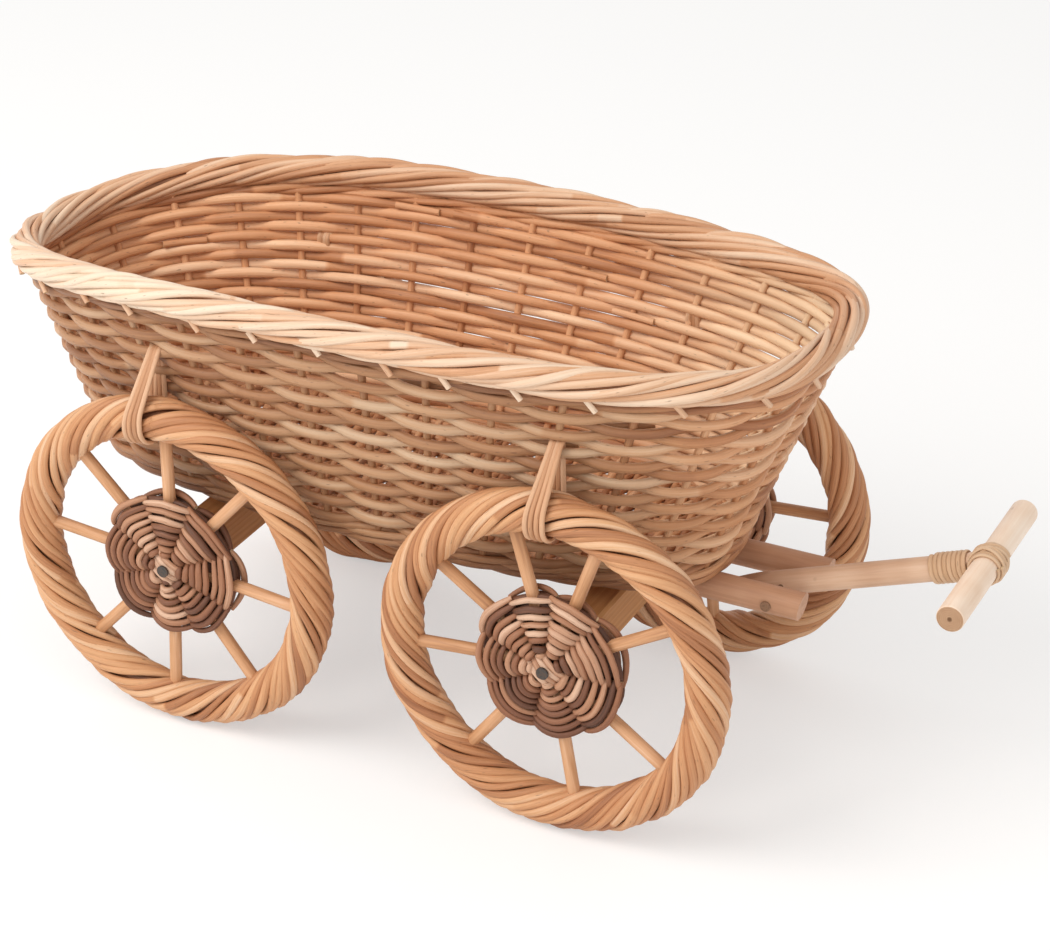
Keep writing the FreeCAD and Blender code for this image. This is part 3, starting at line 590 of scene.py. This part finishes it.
# spokes: degrees from straight ahead, rising; tie: metres ahead of the wheel's middle
wheels = {
    "wheel_rear_right": {"x": -1, "side": -1, "seed": 31, "tie": -0.021,
                         "spokes": [-6, 48, 90, 135, 175, 227, 267, 308]},
    "wheel_front_right": {"x": 1, "side": -1, "seed": 32, "tie": -0.008,
                          "spokes": [30, 71, 106, 146, 185.5, 233, 280, 325]},
    "wheel_front_left": {"x": 1, "side": 1, "seed": 33, "tie": -0.006,
                         "spokes": [4, 52, 103, 145, 187, 229, 276, 318]},
    "wheel_rear_left": {"x": -1, "side": 1, "seed": 34, "tie": -0.012,
                        "spokes": [-3, 43, 86, 133, 176, 222, 268, 310]},
}
wheel = {"height": 0.1745, "track": 0.175, "base": 0.202, "line": 0.1535, "strands": 13, "turns": 5,
         "points": 300, "sides": 8, "reach": 0.0171, "rod": 0.0043, "flat": 0.88, "joints": 3,
         "core": 0.0132, "coreSides": 12, "ground": 0.0004}
rimWillow = willowPaint("rimWillow", blotch=0.5, streak=0.6, wash=0.3, relief=0.0007, stops=[
    (0.0, (0.17, 0.066, 0.03)), (0.25, (0.37, 0.155, 0.068)), (0.5, (0.54, 0.255, 0.116)),
    (0.75, (0.66, 0.365, 0.185)), (1.0, (0.76, 0.52, 0.34))])


def wheelCentre(at):
    return np.array([wheel["base"] * at["x"], wheel["track"] * at["side"], wheel["height"]])


def makeRim(name, at):
    # strands wind round the wheel's circle, a falls as the wheel angle grows:
    # place = centre + radial*(line + reach*cos(a)) + outward*reach*sin(a)
    source = np.random.default_rng(at["seed"])
    shape = (wheel["strands"], wheel["points"])
    one = (wheel["strands"], 1)
    turn = tau * np.arange(wheel["points"])[None, :] / wheel["points"]
    strand = np.arange(wheel["strands"])[:, None]
    wobble = ripple(shape, (2, 5, 9), at["seed"] + 10)
    start = tau * strand / wheel["strands"] + source.uniform(-0.09, 0.09, one)
    angle = start - wheel["turns"] * turn + wobble * 0.1
    reach = wheel["reach"] + source.uniform(-0.0009, 0.0004, one)
    reach = reach + ripple(shape, (3, 7), at["seed"] + 20) * 0.0006
    radial = triple(np.sin(turn), 0.0, np.cos(turn))
    out = radial * np.cos(angle)[..., None] + left * at["side"] * np.sin(angle)[..., None]
    circle = wheelCentre(at) + radial * wheel["line"]
    rod = wheel["rod"] * (1 + source.uniform(-0.13, 0.1, one) + ripple(shape, (2, 6), at["seed"] + 30) * 0.06)
    tone = pieceTone(*shape, wheel["joints"], at["seed"] + 40, 0.28, 0.88)
    strands = rodSkin(circle + out * reach[..., None], out, rod, rod * wheel["flat"], wheel["sides"], True, tone)
    # the core rod takes the darkest tone, which is painted shade in the grooves between the strands
    core = roundRods(circle, radial, wheel["core"], wheel["coreSides"], True, 0.05)
    for group in (strands, core):      # worn flat where it stands
        group["place"][:, 2] = np.maximum(group["place"][:, 2], wheel["ground"])
    buildPiece(name + "_bundle", [strands, core], rimWillow, "cart", [name + "_rim"])


hub = {
    "rings": 8, "firstRing": 0.015, "pitch": 0.0077, "outer": 0.0735, "rod": 0.0034, "points": 13, "sides": 8,
    "front": 0.0098, "dome": 0.006, "back": 0.0086, "between": 0.002, "overlap": 1.1, "fall": 0.036,
    "packRings": 8, "packPoints": 96, "packFrom": 0.006, "packTo": 0.066, "packWidth": 0.0048, "packThick": 0.0034,
    "slatPitch": 0.0062, "slatHalf": 0.015, "slatBend": 0.0045, "slatSink": 0.0003,
    "slatWidth": 0.0033, "slatThick": 0.0026, "slatTones": (0.95, 0.8, 1.05, 0.85),
}
hubWillow = willowPaint("hubWillow", blotch=0.6, streak=0.5, wash=0.4, knots=0.8,
                        washColour=(0.86, 0.74, 0.7), stops=[
    (0.0, (0.07, 0.029, 0.017)), (0.3, (0.2, 0.082, 0.043)), (0.55, (0.335, 0.15, 0.078)),
    (0.8, (0.48, 0.255, 0.15)), (1.0, (0.66, 0.44, 0.31))])


def makeHub(name, at):
    # short rods lie across every spoke, one above the next, and dive between the rods of the next spoke:
    # radius = ring*(1 - fall*|u|^1.2), depth = low + (high - low)*(1 - |u|^2.4), u = -1..1 across the spoke
    source = np.random.default_rng(at["seed"] + 100)
    spokes = np.radians(np.array(at["spokes"], float))[:, None, None]
    gaps = np.radians(np.diff(at["spokes"] + [at["spokes"][0] + 360.0]))[:, None, None]
    sideway = left * at["side"]
    centre = wheelCentre(at)
    part = np.linspace(-1, 1, hub["points"])[None, None]
    ring = np.arange(hub["rings"])[None, :, None]
    spoke = np.arange(len(spokes))[:, None, None]
    reach = np.where(part < 0, np.roll(gaps, 1, axis=0) / 2, gaps / 2)      # half way to the next spoke
    shape = (len(spokes), hub["rings"], 1)
    faces = ((1, hub["front"]), (-1, hub["back"]))
    groups = []
    for sign, face in faces:
        angle = spokes + hub["overlap"] * part * reach
        radius = hub["firstRing"] + hub["pitch"] * (ring + 0.5 * ((spoke + (sign < 0)) % 2))
        radius = np.minimum(radius + source.uniform(-0.0007, 0.0007, shape), hub["outer"])
        bend = 1 - hub["fall"] * np.abs(part) ** 1.2
        dome = hub["dome"] * (1 - (radius / hub["outer"]) ** 2)
        low = hub["between"] + 0.7 * dome
        high = face + dome + source.uniform(-0.0005, 0.0009, shape)
        depth = sign * (low + (high - low) * (1 - np.abs(part) ** 2.4))
        slope = source.uniform(-0.001, 0.001, shape) * part
        radial = triple(np.cos(angle), 0.0, np.sin(angle))
        paths = centre + radial * (radius * bend + slope)[..., None] + sideway * depth[..., None]
        paths = paths.reshape(-1, hub["points"], 3)
        one = (len(paths), 1)
        rod = hub["rod"] * source.uniform(0.86, 1.12, one) * (1 - 0.3 * np.abs(part[0]) ** 2)
        tone = source.uniform(0.12, 0.98, one)
        groups.append(rodSkin(paths, sideway * sign, rod, rod * 0.9, hub["sides"], False, tone))
    # packing between the two faces, in the darkest tone as painted shade in the gaps between the rods, and short
    # rods across the middle
    turn = tau * np.arange(hub["packPoints"])[None, :] / hub["packPoints"]
    out = np.linspace(hub["packFrom"], hub["packTo"], hub["packRings"])[:, None, None]
    packing = centre + triple(np.cos(turn), 0.0, np.sin(turn)) * out
    groups.append(rodSkin(packing, sideway, hub["packWidth"], hub["packThick"], 6, True, 0.15))
    tilt = math.radians(source.uniform(-50, -25))
    lay = np.array([math.cos(tilt), 0.0, math.sin(tilt)])
    across = np.array([-math.sin(tilt), 0.0, math.cos(tilt)])
    span = np.linspace(-1, 1, 9)[None, :, None]
    row = np.array([-1.5, -0.5, 0.5, 1.5])[:, None, None] * hub["slatPitch"]
    tones = np.array(hub["slatTones"])[:, None]
    for sign, face in faces:
        crown = face + hub["dome"] - hub["slatSink"]
        paths = centre + lay * span * hub["slatHalf"] + across * row
        paths = paths + sideway * sign * (crown - hub["slatBend"] * span ** 2)
        groups.append(rodSkin(paths, sideway * sign, hub["slatWidth"], hub["slatThick"], 8, False, tones))
    buildPiece(name + "_weave", groups, hubWillow, "cart", [name + "_hub"])


tie = {"turns": 4, "pitch": 0.0056, "width": 0.0027, "thick": 0.0021, "bundle": 0.0218, "wallHeight": 0.384,
       "wallOut": 0.003, "wallReach": 0.0055, "drawn": 0.55, "perTurn": 56, "sides": 8}
tieWillow = willowPaint("tieWillow", wash=0.15, stops=[
    (0.0, (0.26, 0.115, 0.055)), (0.3, (0.43, 0.205, 0.1)),
    (0.6, (0.58, 0.31, 0.165)), (1.0, (0.72, 0.47, 0.3))])


def beltPoints(low, lowReach, high, highReach, count):
    # closed belt round two circles in the y-z plane, as points evenly spread over its length
    span = high - low
    tilt = math.atan2(span[1], span[0])
    lean = math.acos((lowReach - highReach) / np.linalg.norm(span))
    lower = np.linspace(tilt + lean, tilt + tau - lean, 40)
    upper = np.linspace(tilt + tau - lean, tilt + tau + lean, 16)
    round1 = low + lowReach * np.stack([np.cos(lower), np.sin(lower)], axis=-1)
    round2 = high + highReach * np.stack([np.cos(upper), np.sin(upper)], axis=-1)
    ring = np.concatenate([round2[8:], round1, round2[:9]])
    walked = walkedLength(ring)
    even = np.arange(count) / count * walked[-1]
    return np.stack([np.interp(even, walked, ring[:, 0]), np.interp(even, walked, ring[:, 1])], axis=-1)


def makeTie(name, at):
    # one rod wound round the bundle and through the wall, where its turns draw together
    middleX = wheel["base"] * at["x"]
    x = middleX + at["tie"]
    drop = math.sqrt(wheel["line"] ** 2 - at["tie"] ** 2)
    low = np.array([wheel["track"], wheel["height"] + drop])
    share = (tie["wallHeight"] - basket["baseHeight"]) / (basket["rimHeight"] - basket["baseHeight"])
    wallLine = wallPoint(np.linspace(0, np.pi, 400), share, tie["wallOut"])
    high = np.array([np.interp(-x, -wallLine[:, 0], wallLine[:, 1]), tie["wallHeight"]])
    ring = beltPoints(low, tie["bundle"] + tie["thick"], high, tie["wallReach"], tie["perTurn"])
    number = np.arange(tie["turns"] * tie["perTurn"] + 1)
    part = number / tie["perTurn"]
    loop = ring[number % tie["perTurn"]]
    under = high[1] - loop[:, 1]
    draw = tie["drawn"] + (1 - tie["drawn"]) * np.clip(under / (high[1] - low[1]), 0, 1)
    px = x + tie["pitch"] * (part - tie["turns"] / 2) * draw
    # follow the wheel's curve: turns off the middle sit lower
    sag = np.sqrt(np.maximum(wheel["line"] ** 2 - (px - middleX) ** 2, 0)) - drop
    paths = triple(px, loop[:, 0] * at["side"], loop[:, 1] + sag * np.clip(under / 0.03, 0, 1))[None]
    facing = paths - np.array([x, wheel["track"] * at["side"], low[1]])
    facing[..., 0] = 0
    tone = 0.62 + 0.22 * np.sin(part * 2.2 + at["seed"])[None]
    wound = rodSkin(paths, unit(facing), tie["width"], tie["thick"], tie["sides"], False, tone)
    buildPiece(name + "_binding", [wound], tieWillow, "cart", [name + "_tie"])


for name, at in wheels.items():
    makeRim(name, at)
    makeHub(name, at)
    makeTie(name, at)
print("wheels wound")


bars = {"pivot": (0.3565, 0.0, 0.2075), "rise": math.radians(20), "reach": 0.202,
        "drawbarRadius": 0.0117, "gripRadius": 0.0127, "gripHalf": 0.106, "drawbarTail": 0.058}
lash = {"width": 0.0024, "thick": 0.0014, "pitch": 0.0045, "drawbarTurns": 7.5, "gripTurns": 6.5, "gap": 0.0046,
        "crossPitch": 0.0047, "crossTurns": 2.0, "crossLift": 2.6, "crossSlant": 0.35,
        "perTurn": 36, "sides": 8}
forward = np.array([math.cos(bars["rise"]), 0.0, math.sin(bars["rise"])])
gripCentre = np.array(bars["pivot"]) + forward * bars["reach"]
lashWillow = willowPaint("lashWillow", wash=0.1, blotch=0.35, stops=[
    (0.0, (0.36, 0.19, 0.095)), (0.35, (0.52, 0.31, 0.17)),
    (0.65, (0.64, 0.42, 0.26)), (1.0, (0.74, 0.55, 0.38))])


def winding(centre, axis, first, radius, pitch, turns, tones, slant=0.0):
    # helix: centre + axis*pitch*(t - turns/2) + first*radius*cos(2 pi t) + second*radius*sin(2 pi t),
    # leaned by a slant; tones: middle, swing and beat of its tone
    second = np.cross(axis, first)
    t = np.linspace(0, turns, int(turns * lash["perTurn"]) + 1)[:, None]
    out = first * np.cos(tau * t) + second * np.sin(tau * t)
    lean = axis * slant * radius * np.cos(tau * t)
    paths = (centre + axis * pitch * (t - turns / 2) + out * radius + lean)[None]
    middle, swing, beat = tones
    tone = middle + swing * np.sin(beat * t[None, :, 0])
    return rodSkin(paths, out[None], lash["width"], lash["thick"], lash["sides"], False, tone)


def makeLashings():
    across = np.array([-math.sin(bars["rise"]), 0.0, math.cos(bars["rise"])])
    clear = bars["gripRadius"] + lash["gap"] + lash["pitch"] * lash["drawbarTurns"] / 2
    wound = winding(gripCentre - forward * clear, forward, across, bars["drawbarRadius"] + lash["thick"],
                    lash["pitch"], lash["drawbarTurns"], (0.55, 0.12, 3.1))
    buildPiece("drawbar_binding", [wound], lashWillow, "drawbar_arm", ["drawbar_lashing"])
    groups = [winding(gripCentre, left, forward, bars["gripRadius"] + lash["thick"],
                      lash["pitch"], lash["gripTurns"], (0.62, 0.12, 2.3))]
    # two turns that cross the joint on the slant, over the first winding
    over = bars["gripRadius"] + lash["crossLift"] * lash["thick"]
    for slant in (lash["crossSlant"], -lash["crossSlant"]):
        groups.append(winding(gripCentre, left, forward, over, lash["crossPitch"], lash["crossTurns"],
                              (0.7, 0.1, 2.9), slant))
    buildPiece("hand_bar_binding", groups, lashWillow, "drawbar_arm", ["hand_bar_lashing"])


makeLashings()
print("lashings wound")


# the CAD's own pieces keep their solids and get wood or steel
railCut = math.radians(8)      # the rails' front ends lean by this much
railFace = (math.cos(railCut), 0.0, -math.sin(railCut))
poleLook = {
    "origin": (0.0, -0.0345, 0.2075), "turn": (0.0, 0.0, 0.0),
    "blotch": 0.5, "streak": 0.45, "bands": 0.35, "knots": 0.5, "rough": 0.5, "relief": 0.0004,
    "blotchScales": (9.0, 30.0, 30.0), "streakScales": (14.0, 320.0, 320.0), "fibreScales": (60.0, 900.0, 900.0),
    "bandScales": (26.0, 6.0, 6.0), "spotScales": (38.0, 90.0, 90.0), "endScales": (100.0, 260.0, 260.0),
    "ends": [(railFace, 0.389 * railFace[0] + 0.2345 * railFace[2] + 0.004)],
    "stops": [(0.15, (0.27, 0.125, 0.068)), (0.42, (0.44, 0.225, 0.13)),
              (0.62, (0.55, 0.305, 0.185)), (0.85, (0.66, 0.41, 0.265))],
    "knotColour": (0.2, 0.09, 0.05), "endDark": (0.36, 0.21, 0.12), "endPale": (0.6, 0.42, 0.27),
    "pith": (0.22, 0.11, 0.06), "yearRings": 3800.0, "gloss": 0.35,
}


def stickPaint(name, **changes):
    # peeled wood: fibres run along the stick's own axis, cut ends lie beyond the given planes
    look = dict(poleLook, **changes)
    paint = newPaint(name)
    place = paint.objectPlace()
    local = paint.moved(place, look["origin"], look["turn"])
    blotch = paint.noise(local, look["blotchScales"])
    streak = paint.noise(local, look["streakScales"], 4.0, 0.6)
    fibre = paint.noise(local, look["fibreScales"])
    band = paint.noise(local, look["bandScales"], 1.0)
    shade = 0.5 + (blotch - 0.5) * look["blotch"] + (streak - 0.5) * look["streak"] + (band - 0.5) * look["bands"]
    colour = paint.ramp(shade, look["stops"])
    spot = paint.between(paint.noise(local, look["spotScales"], 1.0), 0.73, 0.79)
    colour = paint.mixed(spot * look["knots"], colour, look["knotColour"])
    rough = look["rough"] + (fibre - 0.5) * 0.2
    for normal, distance in look["ends"]:
        reach = paint.node("VectorMath", {"operation": "DOT_PRODUCT"}, {0: place, 1: normal}, out=1)
        beyond = reach > distance - 0.0005
        across, height = paint.axis(local, 1), paint.axis(local, 2)
        radius = paint.maths("SQRT", across * across + height * height)
        swirl = paint.noise(local, look["endScales"], 3.0)
        yearRing = paint.maths("SINE", radius * look["yearRings"] + swirl * 4.0)
        stops = [(0.0, look["endDark"]), (1.0, look["endPale"])]
        face = paint.ramp(yearRing * 0.22 + swirl * 0.5 + 0.25, stops)
        pith = paint.between(radius + swirl * 0.0016, 0.0022, 0.0036, 1.0, 0.0)
        colour = paint.mixed(beyond, colour, paint.mixed(pith, face, look["pith"]))
        rough = rough + beyond * 0.2
    relief = paint.bump(streak * 0.5 + fibre * 0.5, look["relief"])
    return paint.finish(colour, rough, relief, look["gloss"])


beamLook = {
    "warpScales": (30.0, 5.0, 30.0), "fibreScales": (500.0, 12.0, 500.0), "heartX": 0.03, "heartZ": 0.045,
    "rings": 1500.0, "warp": 9.0, "relief": 0.0004, "gloss": 0.3,
    "stops": [(0.1, (0.3, 0.13, 0.045)), (0.45, (0.47, 0.215, 0.078)),
              (0.75, (0.58, 0.3, 0.125)), (1.0, (0.66, 0.38, 0.19))],
}


def beamPaint(name, origin):
    # sawn softwood: growth rings cut by the saw show as long wavering lines
    paint = newPaint(name)
    local = paint.moved(paint.objectPlace(), origin, (0.0, 0.0, 0.0))
    warp = paint.noise(local, beamLook["warpScales"])
    x, z = paint.axis(local, 0) + beamLook["heartX"], paint.axis(local, 2) + beamLook["heartZ"]
    ring = paint.maths("SQRT", x * x + z * z)
    band = paint.maths("SINE", ring * beamLook["rings"] + warp * beamLook["warp"])
    fibre = paint.noise(local, beamLook["fibreScales"], 3.0)
    colour = paint.ramp(band * 0.07 + fibre * 0.6 + 0.2, beamLook["stops"])
    relief = paint.bump(band * 0.3 + fibre * 0.7, beamLook["relief"])
    return paint.finish(colour, 0.5 + fibre * 0.2, relief, beamLook["gloss"])


spokeLook = {
    "blotch": 1.1, "streak": 0.9, "blotchScales": (12.0, 1.6, 10.0), "streakScales": (14.0, 34.0, 330.0),
    "relief": 0.0004, "gloss": 0.38,
    "stops": [(0.1, (0.34, 0.155, 0.075)), (0.4, (0.53, 0.27, 0.13)),
              (0.65, (0.65, 0.365, 0.2)), (0.9, (0.75, 0.49, 0.33))],
}


def spokePaint(name, centre):
    # peeled rods that radiate from the hub: fibres follow the distance from the wheel's centre
    paint = newPaint(name)
    place = paint.objectPlace()
    x, y, z = paint.axis(place, 0) - centre[0], paint.axis(place, 1), paint.axis(place, 2) - centre[2]
    radius = paint.maths("SQRT", x * x + z * z)
    turn = paint.maths("ARCTAN2", z, x)
    local = paint.node("CombineXYZ", {}, {0: radius, 1: turn, 2: y})
    blotch = paint.noise(local, spokeLook["blotchScales"], 1.0)
    streak = paint.noise(local, spokeLook["streakScales"], 3.0, 0.6)
    shade = 0.5 + (blotch - 0.5) * spokeLook["blotch"] + (streak - 0.5) * spokeLook["streak"]
    colour = paint.ramp(shade, spokeLook["stops"])
    relief = paint.bump(streak, spokeLook["relief"])
    return paint.finish(colour, 0.4 + streak * 0.2, relief, spokeLook["gloss"])


def steelPaint(name, stops, metal):
    paint = newPaint(name)
    rust = paint.noise(paint.objectPlace(), (420.0, 420.0, 420.0), 3.0)
    return paint.finish(paint.ramp(rust, stops), 0.35 + rust * 0.35, paint.bump(rust, 0.0002), metal=metal)


def dress(node, material):
    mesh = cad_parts[node].data
    mesh.materials.clear()
    mesh.materials.append(material)


dress("rail_right", stickPaint("railRightWood"))
dress("rail_left", stickPaint("railLeftWood", origin=(0.0, 0.0345, 0.2075)))
dress("drawbar", stickPaint(
    "drawbarWood", origin=bars["pivot"], turn=(0.0, -bars["rise"], 0.0), bands=0.4, rough=0.46,
    ends=[((-forward[0], 0.0, -forward[2]), float(-np.dot(bars["pivot"], forward)) + bars["drawbarTail"])],
    stops=[(0.15, (0.4, 0.215, 0.13)), (0.42, (0.55, 0.335, 0.215)),
           (0.62, (0.66, 0.44, 0.3)), (0.85, (0.76, 0.56, 0.42))]))
dress("hand_bar", stickPaint(
    "handBarWood", origin=tuple(gripCentre), turn=(0.0, 0.0, math.radians(90)),
    bands=0.3, blotch=0.4, streak=0.35, knots=0.25, rough=0.4,
    ends=[((0.0, -1.0, 0.0), bars["gripHalf"]), ((0.0, 1.0, 0.0), bars["gripHalf"])],
    stops=[(0.15, (0.64, 0.4, 0.24)), (0.42, (0.8, 0.6, 0.45)),
           (0.62, (0.88, 0.73, 0.6)), (0.85, (0.93, 0.83, 0.74))],
    endDark=(0.32, 0.17, 0.09), endPale=(0.52, 0.33, 0.2), pith=(0.15, 0.07, 0.03)))
dress("axle_rear", beamPaint("rearBeamWood", (-wheel["base"], 0.0, wheel["height"])))
dress("axle_front", beamPaint("frontBeamWood", (wheel["base"], 0.0, wheel["height"])))
nailSteel = steelPaint("nailSteel", [
    (0.35, (0.05, 0.046, 0.044)), (0.55, (0.085, 0.07, 0.06)), (0.75, (0.12, 0.055, 0.03))], 0.5)
pinSteel = steelPaint("pinSteel", [
    (0.35, (0.22, 0.125, 0.075)), (0.55, (0.31, 0.18, 0.105)), (0.75, (0.25, 0.12, 0.06))], 0.3)
for name, at in wheels.items():
    dress(name + "_spokes", spokePaint(name + "SpokeWood", tuple(wheelCentre(at))))
    dress(name + "_nail", nailSteel)
for node in ("rail_nails", "floor_nails", "hand_bar_nail"):
    dress(node, nailSteel)
dress("drawbar_pin", pinSteel)
print("wood and steel painted")


studio = {
    "floorHalf": 30.0, "floorColour": (0.99, 0.99, 0.99), "floorLift": 0.45,
    "worldColour": (1.0, 0.985, 0.965), "worldLight": 0.74,
    "lampColour": (1.0, 0.97, 0.93), "lampAim": (0.0, 0.0, 0.2),
    "lamps": {"key": {"place": (-1.5, -1.9, 2.6), "power": 78.0, "size": 2.2},
              "fill": {"place": (2.2, -1.4, 1.5), "power": 10.0, "size": 2.0}},
}


def makeStudio():
    half = studio["floorHalf"]
    mesh = bpy.data.meshes.new("floor")
    mesh.from_pydata([(-half, -half, 0), (half, -half, 0), (half, half, 0), (-half, half, 0)], [], [(0, 1, 2, 3)])
    ground = bpy.data.objects.new("floor", mesh)
    scene.collection.objects.link(ground)
    paint = newPaint("paleFloor")
    seen = paint.node("LightPath", out="Is Camera Ray")
    lit = paint.node("BsdfDiffuse", {}, {"Color": (*studio["floorColour"], 1)})
    plain = paint.node("Emission", {}, {"Color": (1, 1, 1, 1), "Strength": 1.0})
    both = paint.node("MixShader", {}, {0: seen * studio["floorLift"], 1: lit, 2: plain})
    paint.node("OutputMaterial", {}, {"Surface": both})
    mesh.materials.append(paint.block)
    # the world lights the cart dimly and looks plain white, also in reflections
    sky = Paint(bpy.data.worlds.new("studio"))
    seen = sky.maths("MAXIMUM", sky.node("LightPath", out="Is Camera Ray"),
                     sky.node("LightPath", out="Is Glossy Ray"))
    lit = sky.node("Background", {}, {0: (*studio["worldColour"], 1), 1: studio["worldLight"]})
    white = sky.node("Background", {}, {0: (1, 1, 1, 1), 1: 1.0})
    both = sky.node("MixShader", {}, {0: seen, 1: lit, 2: white})
    sky.node("OutputWorld", {}, {"Surface": both})
    scene.world = sky.block
    for label, lamp in studio["lamps"].items():
        data = bpy.data.lights.new(label, "AREA")
        data.energy = lamp["power"]
        data.size = lamp["size"]
        data.color = studio["lampColour"]
        light = bpy.data.objects.new(label, data)
        scene.collection.objects.link(light)
        light.location = lamp["place"]
        aim = Vector(studio["lampAim"]) - Vector(lamp["place"])
        light.rotation_euler = aim.to_track_quat("-Z", "Y").to_euler()


view = {"yaw": 26.55, "pitch": 28.4, "focal": 2737.7, "distance": 2.6881, "aim": (0.0, 0.0, 0.175),
        "aimPixel": (445.4, 527.7), "image": (1050, 950), "sensor": 36.0}


def makeCamera():
    # stands back from the aim point and slides sideways until the aim falls on its pixel
    yaw, pitch = math.radians(view["yaw"]), math.radians(view["pitch"])
    back = Vector((math.sin(yaw) * math.cos(pitch), -math.cos(yaw) * math.cos(pitch), math.sin(pitch)))
    right = Vector((math.cos(yaw), math.sin(yaw), 0.0))
    above = back.cross(right)
    wide, tall = view["image"]
    scale = view["distance"] / view["focal"]
    slideRight = (view["aimPixel"][0] - wide / 2) * scale
    slideUp = (view["aimPixel"][1] - tall / 2) * scale
    data = bpy.data.cameras.new("camera")
    data.sensor_width = view["sensor"]
    data.lens = view["focal"] / wide * view["sensor"]
    data.clip_start, data.clip_end = 0.05, 100.0
    camera = bpy.data.objects.new("camera", data)
    scene.collection.objects.link(camera)
    camera.matrix_world = Matrix((right, above, back)).transposed().to_4x4()
    camera.location = Vector(view["aim"]) + back * view["distance"] - right * slideRight + above * slideUp
    scene.camera = camera


makeStudio()
makeCamera()
print("studio ready")
